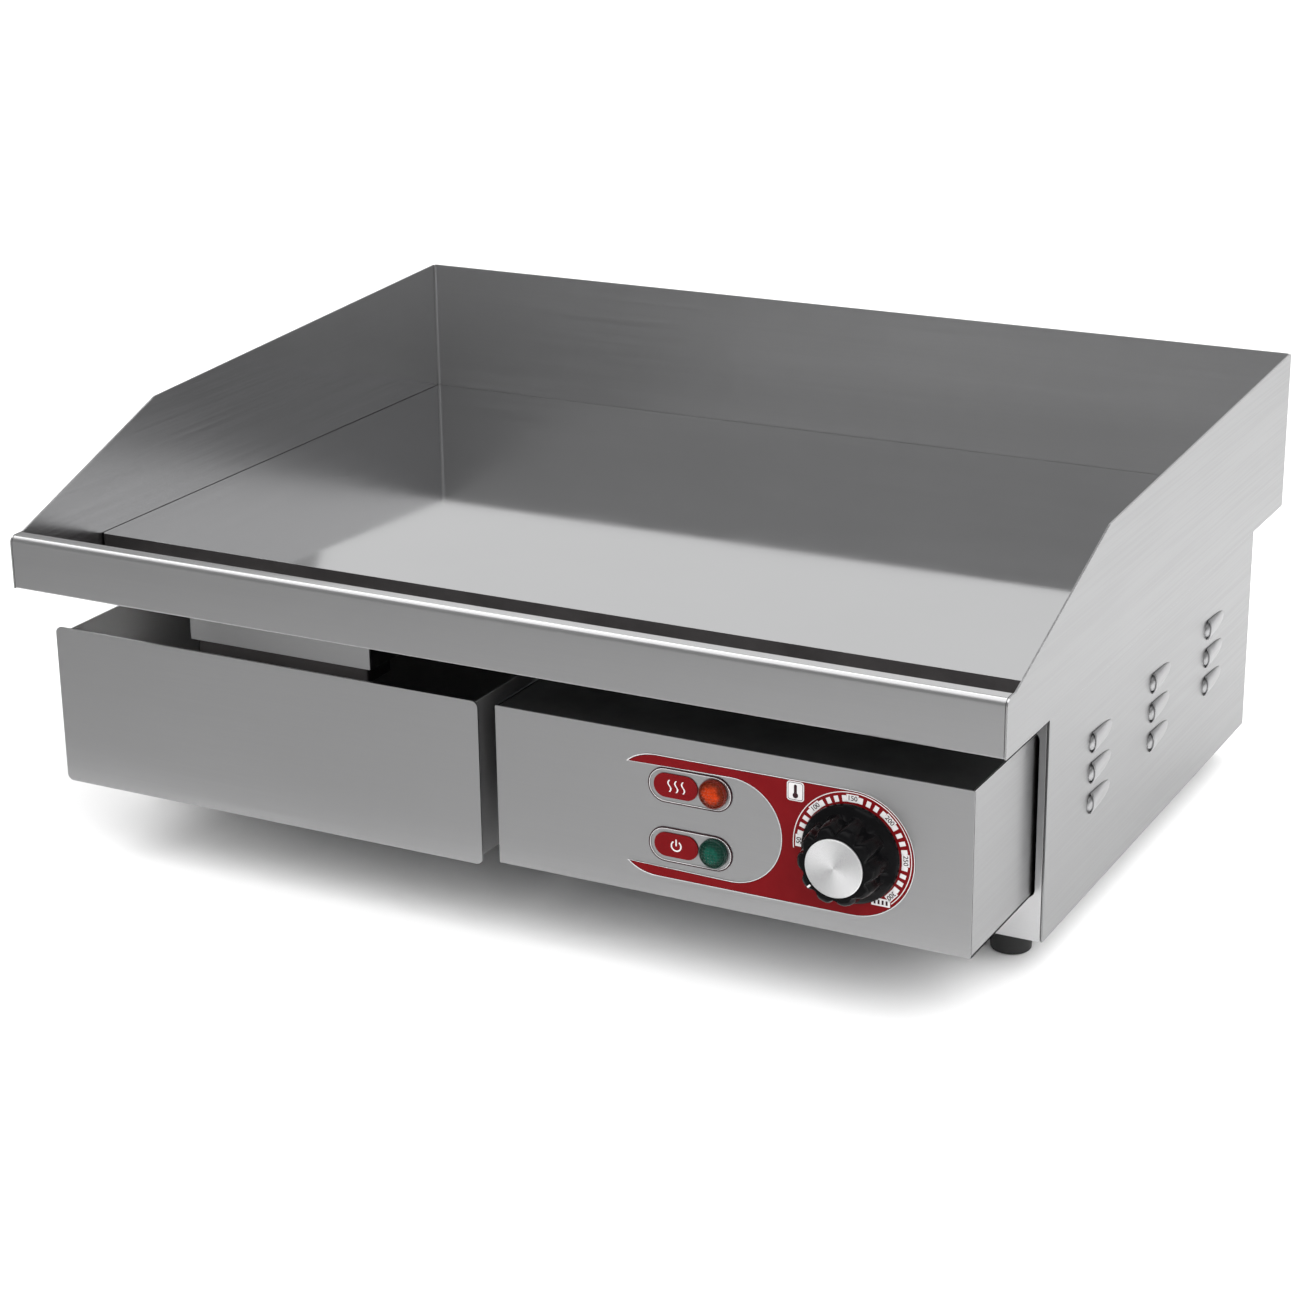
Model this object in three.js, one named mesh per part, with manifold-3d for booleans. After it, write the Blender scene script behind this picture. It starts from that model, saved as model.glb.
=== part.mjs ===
// Countertop flat top electric griddle, in millimetres, +Z up, front towards -Y.
// A stainless tray with splash guards holds a thick steel cooking plate over two tubular heating
// elements. Below it a louvred case carries a control box on the right and a sliding grease
// drawer on the left, fed by a chute under the front trough. The drawer slides out along -Y and
// the thermostat knob turns about Y. The origin is the centre of the footprint, on the table.

import * as THREE from 'three';
import { mergeVertices } from 'three/addons/utils/BufferGeometryUtils.js';
import Module from 'manifold-3d';

const wasm = await Module();
wasm.setup();

// ---------------------------------------------------------------- driving dimensions
const SHEET = 1; // stainless sheet thickness
const GAP = 0.3; // clearance between neighbouring pieces

const TRAY_WIDTH = 550;
const TRAY_DEPTH = 423;
const FOOT_HEIGHT = 20;
const TRAY_BOTTOM = 147.6;
const RAIL_TOP = 176;
const RAIL_LIP_DEPTH = 10;
const RAIL_RADIUS = 4;
const GUARD_CORNER_Y = 128.4; // where the side guard's slope meets its long top edge
const GUARD_CORNER_Z = 219.8;
const GUARD_BACK_Z = 234.5;
const GUARD_FLANGE = 13; // width of the folded ledge under the plate

const PLATE_THICKNESS = 8;
const PLATE_FRONT_Y = 73.5;

const CASE_HALF_WIDTH = 263.5;
const CASE_FRONT_Y = 86.8;
const CASE_BACK_Y = 410.2;

const FASCIA_Y = 9; // front plane of the control box and of the drawer
const FASCIA_TOP = 126.4;
const BOX_LEFT = 9;
const BOX_RIGHT = 257.2;
const BOX_BOTTOM = 43.7;

const DRAWER_LEFT = -257.2;
const DRAWER_RIGHT = -1.1;
const DRAWER_BOTTOM = 40.2;
const DRAWER_LENGTH = 300;

const KNOB_X = 198;
const KNOB_Z = 85.5;
const KNOB_LENGTH = 20;
const LAMP_X = 126.8;
const AMBER_LAMP_Z = 101.6;
const GREEN_LAMP_Z = 71.2;

// ---------------------------------------------------------------- dimensions worked out from them
const TRAY_HALF = TRAY_WIDTH / 2;
const FLOOR_TOP = TRAY_BOTTOM + SHEET; // trough floor and guard ledges
const PLATE_BOTTOM = FLOOR_TOP + GAP;
const PLATE_TOP = PLATE_BOTTOM + PLATE_THICKNESS;
const CASE_BOTTOM = FOOT_HEIGHT;
const CASE_TOP = TRAY_BOTTOM - GAP;
const CASE_INNER = CASE_HALF_WIDTH - SHEET - GAP;
const OVERLAY_THICKNESS = 0.4;
const OVERLAY_FRONT_Y = FASCIA_Y - GAP - OVERLAY_THICKNESS;
const KNOB_BACK_Y = OVERLAY_FRONT_Y - 0.6;
const KNOB_FRONT_Y = KNOB_BACK_Y - KNOB_LENGTH;
const CAP_PROUD = 0.4; // how far the metal cap stands out of the knob's front
const CENTRE_SHIFT = -(TRAY_DEPTH + KNOB_FRONT_Y - CAP_PROUD) / 2;
const SHIELD_FRONT_Y = 108;
const SHIELD_BACK_Y = 400;

// ---------------------------------------------------------------- materials
function material(color, roughness, metalness) {
  return new THREE.MeshStandardMaterial({ color, roughness, metalness });
}

const brushedSteel = material(0xb9babb, 0.34, 1);
const polishedSteel = material(0xa8a9ab, 0.12, 1);
const innerSteel = material(0x9a9c9e, 0.45, 1);
const elementSteel = material(0x55504c, 0.5, 0.9);
const zincSteel = material(0xc2c4c6, 0.4, 1);
const copper = material(0xb87345, 0.35, 1);
const aluminium = material(0xe2e3e4, 0.28, 1);
const blackPaint = material(0x121212, 0.45, 0);
const blackPlastic = material(0x0c0c0d, 0.32, 0);
const rubber = material(0x151515, 0.8, 0);
const redPrint = material(0x9a1520, 0.4, 0);
const amberLens = material(0xe0521a, 0.2, 0);
const greenLens = material(0x1f7a5a, 0.2, 0);
const whitePlastic = material(0xd9d7cf, 0.5, 0);
const ceramicFibre = material(0xe6e2d6, 0.95, 0);
const siliconeWire = material(0xc9c2b4, 0.6, 0);
const brownWire = material(0x6b3f26, 0.6, 0);
const blueWire = material(0x2f5f9e, 0.6, 0);

// ---------------------------------------------------------------- solids and booleans
// Every corner is put on a grid of exact binary fractions, so faces meant to be flush are.
const GRID = 1 / 1024;

function toSolid(geometry) {
  const bare = geometry.index ? geometry.toNonIndexed() : geometry.clone();
  for (const name of Object.keys(bare.attributes)) {
    if (name !== 'position') bare.deleteAttribute(name);
  }
  const positions = bare.attributes.position;
  positions.array.set(positions.array.map((value) => Math.round(value / GRID) * GRID));
  const welded = mergeVertices(bare, GRID / 2);
  const vertProperties = new Float32Array(welded.attributes.position.array);
  const triVerts = new Uint32Array(welded.index.array);
  if (signedVolume(vertProperties, triVerts) < 0) triVerts.reverse();
  return new wasm.Manifold(new wasm.Mesh({ numProp: 3, vertProperties, triVerts }));
}

// Negative when the faces point inwards, as they do where a profile runs the other way round.
function signedVolume(positions, triangles) {
  const corner = (i) => new THREE.Vector3().fromArray(positions, 3 * triangles[i]);
  let sum = 0;
  for (let i = 0; i < triangles.length; i += 3) {
    sum += corner(i).dot(corner(i + 1).cross(corner(i + 2)));
  }
  return sum / 6;
}

function toGeometry(solid) {
  const mesh = solid.getMesh();
  const geometry = new THREE.BufferGeometry();
  geometry.setAttribute('position', new THREE.BufferAttribute(new Float32Array(mesh.vertProperties), 3));
  geometry.setIndex(new THREE.BufferAttribute(new Uint32Array(mesh.triVerts), 1));
  geometry.computeVertexNormals();
  return geometry;
}

function union(...solids) {
  return solids.reduce((sum, solid) => sum.add(solid));
}

function cut(solid, ...tools) {
  return tools.reduce((rest, tool) => rest.subtract(tool), solid);
}

// A block between two opposite corners.
function block(x0, x1, y0, y1, z0, z1) {
  const geometry = new THREE.BoxGeometry(x1 - x0, y1 - y0, z1 - z0);
  geometry.translate((x0 + x1) / 2, (y0 + y1) / 2, (z0 + z1) / 2);
  return toSolid(geometry);
}

// A round bar along +Y that starts at y0; radiusEnd is its radius at the far end.
function barY(x, y0, z, radius, length, sides = 24, radiusEnd = radius) {
  const geometry = new THREE.CylinderGeometry(radiusEnd, radius, length, sides);
  geometry.translate(x, y0 + length / 2, z);
  return toSolid(geometry);
}

// A round bar along +Z that starts at z0.
function barZ(x, y, z0, radius, length, sides = 20, radiusEnd = radius) {
  const geometry = new THREE.CylinderGeometry(radiusEnd, radius, length, sides);
  geometry.rotateX(Math.PI / 2);
  geometry.translate(x, y, z0 + length / 2);
  return toSolid(geometry);
}

// An outline drawn in X and Z, made into a plate from y0 to y1.
function plateXZ(shape, y0, y1, curveSegments = 8) {
  const depth = y1 - y0;
  const geometry = new THREE.ExtrudeGeometry(shape, { depth, bevelEnabled: false, curveSegments });
  geometry.rotateX(Math.PI / 2);
  geometry.translate(0, y1, 0);
  return toSolid(geometry);
}

// An outline drawn in Y and Z, made into a bar or plate from x0 to x1.
function plateYZ(shape, x0, x1, curveSegments = 8) {
  const depth = x1 - x0;
  const geometry = new THREE.ExtrudeGeometry(shape, { depth, bevelEnabled: false, curveSegments });
  geometry.rotateY(Math.PI / 2);
  geometry.rotateX(Math.PI / 2);
  geometry.translate(x0, 0, 0);
  return toSolid(geometry);
}

function roundedRectangle(x0, x1, z0, z1, radius) {
  const shape = new THREE.Shape();
  shape.moveTo(x0 + radius, z0);
  shape.lineTo(x1 - radius, z0);
  shape.absarc(x1 - radius, z0 + radius, radius, -Math.PI / 2, 0, false);
  shape.lineTo(x1, z1 - radius);
  shape.absarc(x1 - radius, z1 - radius, radius, 0, Math.PI / 2, false);
  shape.lineTo(x0 + radius, z1);
  shape.absarc(x0 + radius, z1 - radius, radius, Math.PI / 2, Math.PI, false);
  shape.lineTo(x0, z0 + radius);
  shape.absarc(x0 + radius, z0 + radius, radius, Math.PI, 1.5 * Math.PI, false);
  return shape;
}

// The closed outline of a folded sheet: a path of its outer face, thickened to the right of travel.
function foldedSheet(path, thickness = SHEET) {
  const inner = path.map((point, i) => {
    const before = path[Math.max(i - 1, 0)];
    const after = path[Math.min(i + 1, path.length - 1)];
    const normals = [];
    if (i > 0) normals.push(rightNormal(before, point));
    if (i < path.length - 1) normals.push(rightNormal(point, after));
    const sum = normals.reduce((total, n) => total.clone().add(n));
    const mitre = sum.normalize().multiplyScalar(thickness / sum.dot(normals[0]));
    return point.clone().add(mitre);
  });
  return new THREE.Shape([...path, ...inner.reverse()]);
}

function rightNormal(from, to) {
  const along = to.clone().sub(from).normalize();
  return new THREE.Vector2(along.y, -along.x);
}

// A round tube or rod along a curve.
function rod(curve, radius, steps, sides = 8) {
  const section = new THREE.Shape();
  section.absarc(0, 0, radius, 0, 2 * Math.PI, false);
  const options = { steps, extrudePath: curve, curveSegments: sides / 2, bevelEnabled: false };
  return toSolid(new THREE.ExtrudeGeometry(section, options));
}

function smoothRun(points, radius, steps) {
  const stops = points.map((p) => new THREE.Vector3(...p));
  return rod(new THREE.CatmullRomCurve3(stops, false, 'centripetal'), radius, steps, 6);
}

// ---------------------------------------------------------------- the model tree
const griddle = new THREE.Group();
griddle.position.set(0, CENTRE_SHIFT, 0);

function addNode(name, solid, look, parent = griddle) {
  const mesh = new THREE.Mesh(toGeometry(solid), look);
  mesh.name = name;
  parent.add(mesh);
}

function point2(y, z) {
  return new THREE.Vector2(y, z);
}

// ---------------------------------------------------------------- tray and splash guards
// Front rail and trough floor are one folded sheet: hem, face, rounded lip, inner wall, floor.
const CHUTE = { left: -193, right: -83.3, front: 40, back: 66, bottom: 119.5 };
const SPOUT = { inset: 2, bottom: 111.3 };

function frontRail() {
  const arc = new THREE.EllipseCurve(
    RAIL_RADIUS, RAIL_TOP - RAIL_RADIUS, RAIL_RADIUS, RAIL_RADIUS, Math.PI, Math.PI / 2, true);
  const path = [
    point2(RAIL_LIP_DEPTH - 3, TRAY_BOTTOM),
    point2(0, TRAY_BOTTOM),
    ...arc.getPoints(6),
    point2(RAIL_LIP_DEPTH, RAIL_TOP),
    point2(RAIL_LIP_DEPTH, FLOOR_TOP),
    point2(CASE_FRONT_Y - GAP, FLOOR_TOP),
  ];
  const half = TRAY_HALF - SHEET - GAP;
  const drain = block(
    CHUTE.left + SPOUT.inset, CHUTE.right - SPOUT.inset, CHUTE.front + SPOUT.inset,
    CHUTE.back - SPOUT.inset, TRAY_BOTTOM - 5, FLOOR_TOP + 5);
  return cut(plateYZ(foldedSheet(path), -half, half), drain);
}

function sideGuard(side) {
  const outline = new THREE.Shape();
  outline.moveTo(0, TRAY_BOTTOM);
  outline.lineTo(TRAY_DEPTH, TRAY_BOTTOM);
  outline.lineTo(TRAY_DEPTH, GUARD_BACK_Z);
  outline.lineTo(GUARD_CORNER_Y, GUARD_CORNER_Z);
  outline.lineTo(RAIL_LIP_DEPTH, RAIL_TOP);
  outline.lineTo(RAIL_RADIUS, RAIL_TOP);
  outline.absarc(RAIL_RADIUS, RAIL_TOP - RAIL_RADIUS, RAIL_RADIUS, Math.PI / 2, Math.PI, false);
  const [wallFrom, wallTo] = side > 0 ? [TRAY_HALF - SHEET, TRAY_HALF] : [-TRAY_HALF, SHEET - TRAY_HALF];
  const inner = side * (TRAY_HALF - GUARD_FLANGE);
  const ledge = block(
    Math.min(inner, side * (TRAY_HALF - SHEET / 2)), Math.max(inner, side * (TRAY_HALF - SHEET / 2)),
    CASE_FRONT_Y + GAP, TRAY_DEPTH - SHEET - GAP, TRAY_BOTTOM, FLOOR_TOP);
  return union(plateYZ(outline, wallFrom, wallTo), ledge);
}

function backGuard() {
  const half = TRAY_HALF - SHEET - GAP;
  const ledgeHalf = TRAY_HALF - GUARD_FLANGE - GAP;
  const wall = block(-half, half, TRAY_DEPTH - SHEET, TRAY_DEPTH, FLOOR_TOP + GAP, GUARD_BACK_Z);
  const foot = block(-ledgeHalf, ledgeHalf, TRAY_DEPTH - SHEET, TRAY_DEPTH, TRAY_BOTTOM, FLOOR_TOP + 1);
  const ledge = block(
    -ledgeHalf, ledgeHalf, TRAY_DEPTH - GUARD_FLANGE - 6, TRAY_DEPTH - SHEET / 2, TRAY_BOTTOM, FLOOR_TOP);
  return union(wall, foot, ledge);
}

// The outer collar hangs from the trough floor; the inner spout reaches lower, over the drawer.
function ringOfWalls(left, right, front, back, bottom, top) {
  const outer = block(left, right, front, back, bottom, top);
  const inner = block(left + SHEET, right - SHEET, front + SHEET, back - SHEET, bottom - 1, top + 1);
  return cut(outer, inner);
}

function greaseChute() {
  const inset = SHEET + GAP;
  return ringOfWalls(
    CHUTE.left - inset, CHUTE.right + inset, CHUTE.front, CHUTE.back + inset, CHUTE.bottom,
    TRAY_BOTTOM - GAP);
}

function chuteSpout() {
  const inset = SPOUT.inset + GAP;
  return ringOfWalls(
    CHUTE.left + inset, CHUTE.right - inset, CHUTE.front + inset, CHUTE.back - inset, SPOUT.bottom,
    FLOOR_TOP);
}

addNode('front_rail', frontRail(), brushedSteel);
addNode('splash_guard_left', sideGuard(-1), brushedSteel);
addNode('splash_guard_right', sideGuard(1), brushedSteel);
addNode('splash_guard_back', backGuard(), brushedSteel);
addNode('grease_chute', greaseChute(), innerSteel);
addNode('chute_spout', chuteSpout(), innerSteel);

// ---------------------------------------------------------------- cooking plate and its heating
const STUD_X = [-125, 125];
const CLAMP_Y = [175, 320];
const STUD_RADIUS = 3;
const ELEMENT_RADIUS = 4;
const ELEMENT_END_Y = 98;
const ELEMENT_Z = PLATE_BOTTOM - GAP - ELEMENT_RADIUS;
const CLAMP_TOP = ELEMENT_Z - ELEMENT_RADIUS - GAP;
const CLAMP_THICKNESS = 2.5;
const NUT_HEIGHT = 3;
const NUT_RADIUS = 5.5;

function cookingPlate() {
  const half = TRAY_HALF - SHEET - 0.5;
  const plate = block(-half, half, PLATE_FRONT_Y, TRAY_DEPTH - SHEET - 0.5, PLATE_BOTTOM, PLATE_TOP);
  const studBottom = CLAMP_TOP - CLAMP_THICKNESS - NUT_HEIGHT - 1;
  const studs = [];
  for (const x of STUD_X) {
    for (const y of CLAMP_Y) {
      studs.push(barZ(x, y, studBottom, STUD_RADIUS, PLATE_BOTTOM + 1 - studBottom, 12));
    }
  }
  return union(plate, ...studs);
}

// Four legs joined by three U bends, lying flat under the plate.
function heatingElement(side) {
  const pitch = 60;
  const legs = [35, 95, 155, 215];
  const frontBendY = 145;
  const backBendY = 360;
  const path = new THREE.CurvePath();
  const at = (x, y) => new THREE.Vector3(side * x, y, ELEMENT_Z);
  const starts = [ELEMENT_END_Y, backBendY, frontBendY, backBendY];
  const ends = [backBendY, frontBendY, backBendY, ELEMENT_END_Y];
  legs.forEach((x, i) => {
    path.add(new THREE.LineCurve3(at(x, starts[i]), at(x, ends[i])));
    if (i < legs.length - 1) path.add(new UBend(side * x, side * pitch, ends[i], i % 2 === 0 ? 1 : -1));
  });
  return rod(path, ELEMENT_RADIUS, 84, 8);
}

// A half circle from one leg to the next, bulging along bulge * Y.
class UBend extends THREE.Curve {
  constructor(x, pitch, y, bulge) {
    super();
    Object.assign(this, { x, pitch, y, bulge });
  }

  getPoint(t, target = new THREE.Vector3()) {
    const radius = this.pitch / 2;
    const angle = Math.PI * t;
    const x = this.x + radius - radius * Math.cos(angle);
    const y = this.y + this.bulge * Math.abs(radius) * Math.sin(angle);
    return target.set(x, y, ELEMENT_Z);
  }
}

function clampBar(y) {
  const bar = block(-232, 232, y - 10, y + 10, CLAMP_TOP - CLAMP_THICKNESS, CLAMP_TOP);
  const holes = STUD_X.map((x) => barZ(x, y, CLAMP_TOP - 10, STUD_RADIUS + 0.5, 20, 12));
  return cut(bar, ...holes);
}

function clampNut(x, y) {
  const bottom = CLAMP_TOP - CLAMP_THICKNESS - GAP - NUT_HEIGHT;
  const nut = barZ(x, y, bottom, NUT_RADIUS, NUT_HEIGHT, 6);
  return cut(nut, barZ(x, y, bottom - 1, STUD_RADIUS + 0.3, NUT_HEIGHT + 2, 12));
}

const SHIELD_BOTTOM = 127.7;
const SHIELD_THICKNESS = 0.8;
const INSULATION_THICKNESS = 4;
const BULB_X = 185;

function capillaryHole() {
  return barZ(BULB_X, SHIELD_FRONT_Y + 14, SHIELD_BOTTOM - 5, 5, 20, 16);
}

function heatShield() {
  const sheet = block(
    -CASE_INNER + 2, CASE_INNER - 2, SHIELD_FRONT_Y, SHIELD_BACK_Y, SHIELD_BOTTOM,
    SHIELD_BOTTOM + SHIELD_THICKNESS);
  return cut(sheet, capillaryHole());
}

function insulationMat() {
  const bottom = SHIELD_BOTTOM + SHIELD_THICKNESS + GAP;
  const top = bottom + INSULATION_THICKNESS;
  const mat = block(-250, 250, SHIELD_FRONT_Y + 2, SHIELD_BACK_Y - 4, bottom, top);
  return cut(mat, capillaryHole());
}

addNode('griddle_plate', cookingPlate(), polishedSteel);
addNode('heating_element_left', heatingElement(-1), elementSteel);
addNode('heating_element_right', heatingElement(1), elementSteel);
CLAMP_Y.forEach((y, row) => {
  addNode(`element_clamp_bar_${row + 1}`, clampBar(y), zincSteel);
  STUD_X.forEach((x, column) => {
    addNode(`clamp_nut_${row * STUD_X.length + column + 1}`, clampNut(x, y), zincSteel);
  });
});
addNode('heat_shield', heatShield(), innerSteel);
addNode('insulation_mat', insulationMat(), ceramicFibre);

// ---------------------------------------------------------------- case
const LOUVRE_COLUMNS = [148.2, 239.6, 331];
const LOUVRE_ROWS = [101.3, 85.2, 69.1];
const LOUVRE_LENGTH = 30;
const LOUVRE_RADIUS = 5;
const LOUVRE_TIP_RADIUS = 1.6;
const LOUVRE_WALL = 1.1;
const LOUVRE_PROUD = 0.72; // the hoods are flattened to this share of a round section

// A pressed vent: a tapered hood, open at its front end, over a slot through the panel.
function louvre(y, z, x, mouth, tail, start, length) {
  const geometry = new THREE.CylinderGeometry(tail, mouth, length, 14);
  geometry.scale(LOUVRE_PROUD, 1, 1);
  geometry.translate(x, y + start + length / 2, z);
  return toSolid(geometry);
}

function caseSide(side) {
  const outer = side * CASE_HALF_WIDTH;
  const inner = side * (CASE_HALF_WIDTH - SHEET);
  let panel = block(
    Math.min(outer, inner), Math.max(outer, inner), CASE_FRONT_Y, CASE_BACK_Y, CASE_BOTTOM, CASE_TOP);
  const hoods = [];
  const hollows = [];
  for (const y of LOUVRE_COLUMNS) {
    for (const z of LOUVRE_ROWS) {
      hoods.push(louvre(y, z, inner, LOUVRE_RADIUS, LOUVRE_TIP_RADIUS, 0, LOUVRE_LENGTH));
      hollows.push(louvre(
        y, z, inner, LOUVRE_RADIUS - LOUVRE_WALL, LOUVRE_TIP_RADIUS - 1, -0.5, LOUVRE_LENGTH - 2));
    }
  }
  panel = union(panel, ...hoods);
  panel = cut(panel, ...hollows);
  const insideSpan = side > 0 ? [inner - 20, inner] : [inner, inner + 20];
  return cut(panel, block(...insideSpan, CASE_FRONT_Y - 1, CASE_BACK_Y + 1, CASE_BOTTOM - 1, CASE_TOP + 1));
}

const OPENING_TOP = 127.2;
const OPENING_RADIUS = 4;
const BOX_OPENING = { left: 7.2, right: 258.8, bottom: 42.4 };
const DRAWER_OPENING = { left: -255, right: 0.6, bottom: 41 };

function caseFront() {
  const sheet = block(
    -CASE_INNER, CASE_INNER, CASE_FRONT_Y, CASE_FRONT_Y + SHEET, CASE_BOTTOM, CASE_TOP);
  const through = [BOX_OPENING, DRAWER_OPENING].map((o) =>
    plateXZ(
      roundedRectangle(o.left, o.right, o.bottom, OPENING_TOP, OPENING_RADIUS), CASE_FRONT_Y - 5,
      CASE_FRONT_Y + 5, 5));
  return cut(sheet, ...through);
}

const GLAND = {
  x: 165, z: 62, hole: 9, bore: 5, reachInside: 9, hex: 12.5, hexDepth: 4, dome: 11, domeDepth: 8,
  mouth: 8, nut: 13, nutDepth: 5,
};

function caseBack() {
  const sheet = block(-CASE_INNER, CASE_INNER, CASE_BACK_Y - SHEET, CASE_BACK_Y, CASE_BOTTOM, CASE_TOP);
  const glandHole = barY(GLAND.x, CASE_BACK_Y - 10, GLAND.z, GLAND.hole, 20, 20);
  return cut(sheet, glandHole);
}

const FOOT_X = 237;
const FOOT_Y = [116, 381];
const BOTTOM_SLOT_X = [90, 120, 150, 180];

function caseBottom() {
  const y0 = CASE_FRONT_Y + SHEET + GAP;
  const y1 = CASE_BACK_Y - SHEET - GAP;
  const floor = block(-CASE_INNER, CASE_INNER, y0, y1, CASE_BOTTOM, CASE_BOTTOM + SHEET);
  const lipFront = block(-CASE_INNER, CASE_INNER, y0, y0 + SHEET, CASE_BOTTOM, CASE_BOTTOM + 14);
  const lipBack = block(-CASE_INNER, CASE_INNER, y1 - SHEET, y1, CASE_BOTTOM, CASE_BOTTOM + 10);
  const screwHoles = [];
  for (const x of [-FOOT_X, FOOT_X]) {
    for (const y of FOOT_Y) screwHoles.push(barZ(x, y, CASE_BOTTOM - 5, 2.8, 20, 12));
  }
  const slots = BOTTOM_SLOT_X.map((x) => block(x - 4, x + 4, 200, 290, CASE_BOTTOM - 5, CASE_BOTTOM + 5));
  return cut(union(floor, lipFront, lipBack), ...screwHoles, ...slots);
}

const DIVIDER_X = 3.2;

function caseDivider() {
  const y0 = CASE_FRONT_Y + SHEET + GAP;
  const bottom = CASE_BOTTOM + SHEET + GAP;
  const wall = block(DIVIDER_X, DIVIDER_X + SHEET, y0 + 2, CASE_BACK_Y - 3, bottom, SHIELD_BOTTOM - GAP);
  const foot = block(DIVIDER_X, DIVIDER_X + 12, y0 + 2, CASE_BACK_Y - 3, bottom, bottom + SHEET);
  return union(wall, foot);
}

// Angle bars across the case that carry the plate's front and back edges.
function supportAngle(y, direction) {
  const top = CASE_TOP;
  const x = CASE_INNER - 1;
  const standing = [y, y + direction * 1.5].sort((a, b) => a - b);
  const lying = [y, y + direction * 5].sort((a, b) => a - b);
  return union(block(-x, x, ...standing, top - 14, top), block(-x, x, ...lying, top - 1.5, top));
}

const FOOT = { recess: 5.9, recessDepth: 7, sole: 9.4, chamfer: 10.2, top: 11.2, bore: 3.1 };
const FOOT_SCREW = { head: 4.6, headBottom: 3.4, headHeight: 3.2, shank: 2.4 };

// A tapered rubber foot with a recess from below for its screw.
function foot(x, y) {
  const top = FOOT_HEIGHT - GAP;
  const { recess, recessDepth, sole, chamfer, bore } = FOOT;
  const outline = [
    [recess, 0], [sole, 0], [chamfer, 1], [FOOT.top, top - 3], [FOOT.top, top], [bore, top],
    [bore, recessDepth], [recess, recessDepth], [recess, 0],
  ];
  const geometry = new THREE.LatheGeometry(outline.map(([r, z]) => point2(r, z)), 24);
  geometry.rotateX(Math.PI / 2);
  geometry.translate(x, y, 0);
  return toSolid(geometry);
}

function footScrew(x, y) {
  const { head, headBottom, headHeight, shank } = FOOT_SCREW;
  const shankBottom = headBottom + headHeight - 0.6;
  return union(
    barZ(x, y, headBottom, head, headHeight, 12),
    barZ(x, y, shankBottom, shank, CASE_BOTTOM + 4 - shankBottom, 12));
}

addNode('case_side_left', caseSide(-1), brushedSteel);
addNode('case_side_right', caseSide(1), brushedSteel);
addNode('case_front', caseFront(), brushedSteel);
addNode('case_back', caseBack(), brushedSteel);
addNode('case_bottom', caseBottom(), innerSteel);
addNode('case_divider', caseDivider(), innerSteel);
addNode('support_angle_front', supportAngle(CASE_FRONT_Y + SHEET + GAP, 1), zincSteel);
addNode('support_angle_back', supportAngle(CASE_BACK_Y - SHEET - GAP, -1), zincSteel);

const FEET = [
  ['front_left', -FOOT_X, FOOT_Y[0]],
  ['front_right', FOOT_X, FOOT_Y[0]],
  ['back_left', -FOOT_X, FOOT_Y[1]],
  ['back_right', FOOT_X, FOOT_Y[1]],
];
for (const [place, x, y] of FEET) {
  addNode(`foot_${place}`, foot(x, y), rubber);
  addNode(`foot_screw_${place}`, footScrew(x, y), zincSteel);
}

// ---------------------------------------------------------------- mains inlet and wiring
function cableGland() {
  const flangeBack = CASE_BACK_Y + GAP;
  const bodyFront = CASE_BACK_Y - GLAND.reachInside;
  const hex = barY(GLAND.x, flangeBack, GLAND.z, GLAND.hex, GLAND.hexDepth, 6);
  const domeStart = flangeBack + GLAND.hexDepth - 0.5;
  const dome = barY(GLAND.x, domeStart, GLAND.z, GLAND.dome, GLAND.domeDepth, 24, GLAND.mouth);
  const thread = barY(GLAND.x, bodyFront, GLAND.z, GLAND.hole - 0.5, GLAND.reachInside + 1, 20);
  return cut(union(hex, dome, thread), barY(GLAND.x, bodyFront - 5, GLAND.z, GLAND.bore, 40, 20));
}

function glandNut() {
  const y0 = CASE_BACK_Y - SHEET - GAP - GLAND.nutDepth;
  return cut(
    barY(GLAND.x, y0, GLAND.z, GLAND.nut, GLAND.nutDepth, 6),
    barY(GLAND.x, y0 - 1, GLAND.z, GLAND.hole, GLAND.nutDepth + 2, 20));
}

const TERMINALS = {
  x: 95, y: 380, bottom: CASE_BOTTOM + SHEET + GAP, height: 20, halfLength: 24, halfDepth: 10,
  poles: [-16, 0, 16], wireHole: 2.6, wireHoleRise: 8, screwHole: 2.8,
};

function terminalBlock() {
  const t = TERMINALS;
  const body = block(
    t.x - t.halfLength, t.x + t.halfLength, t.y - t.halfDepth, t.y + t.halfDepth, t.bottom,
    t.bottom + t.height);
  const wireHoles = t.poles.map((dx) =>
    barY(t.x + dx, t.y - 2 * t.halfDepth, t.bottom + t.wireHoleRise, t.wireHole, 4 * t.halfDepth, 12));
  const screwHoles = t.poles.map((dx) =>
    barZ(t.x + dx, t.y, t.bottom + 0.6 * t.height, t.screwHole, t.height, 12));
  return cut(body, ...wireHoles, ...screwHoles);
}

const EARTH = {
  x: 215, y: 370, bottom: CASE_BOTTOM + SHEET + GAP, nut: 6, nutHeight: 4, stud: 3, height: 16,
};

function earthStud() {
  const { x, y, bottom, nut, nutHeight, stud, height } = EARTH;
  const studBottom = bottom + nutHeight - 1;
  return union(
    barZ(x, y, bottom, nut, nutHeight, 6),
    barZ(x, y, studBottom, stud, bottom + height - studBottom, 12));
}

addNode('cable_gland', cableGland(), blackPlastic);
addNode('gland_locknut', glandNut(), blackPlastic);
addNode('terminal_block', terminalBlock(), whitePlastic);
addNode('earth_stud', earthStud(), zincSteel);

// ---------------------------------------------------------------- control box
const BOX_BACK_Y = CASE_FRONT_Y + 14;
const LAMP_HOLE = 6.4;
const SHAFT_HOLE = 5;

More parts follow.
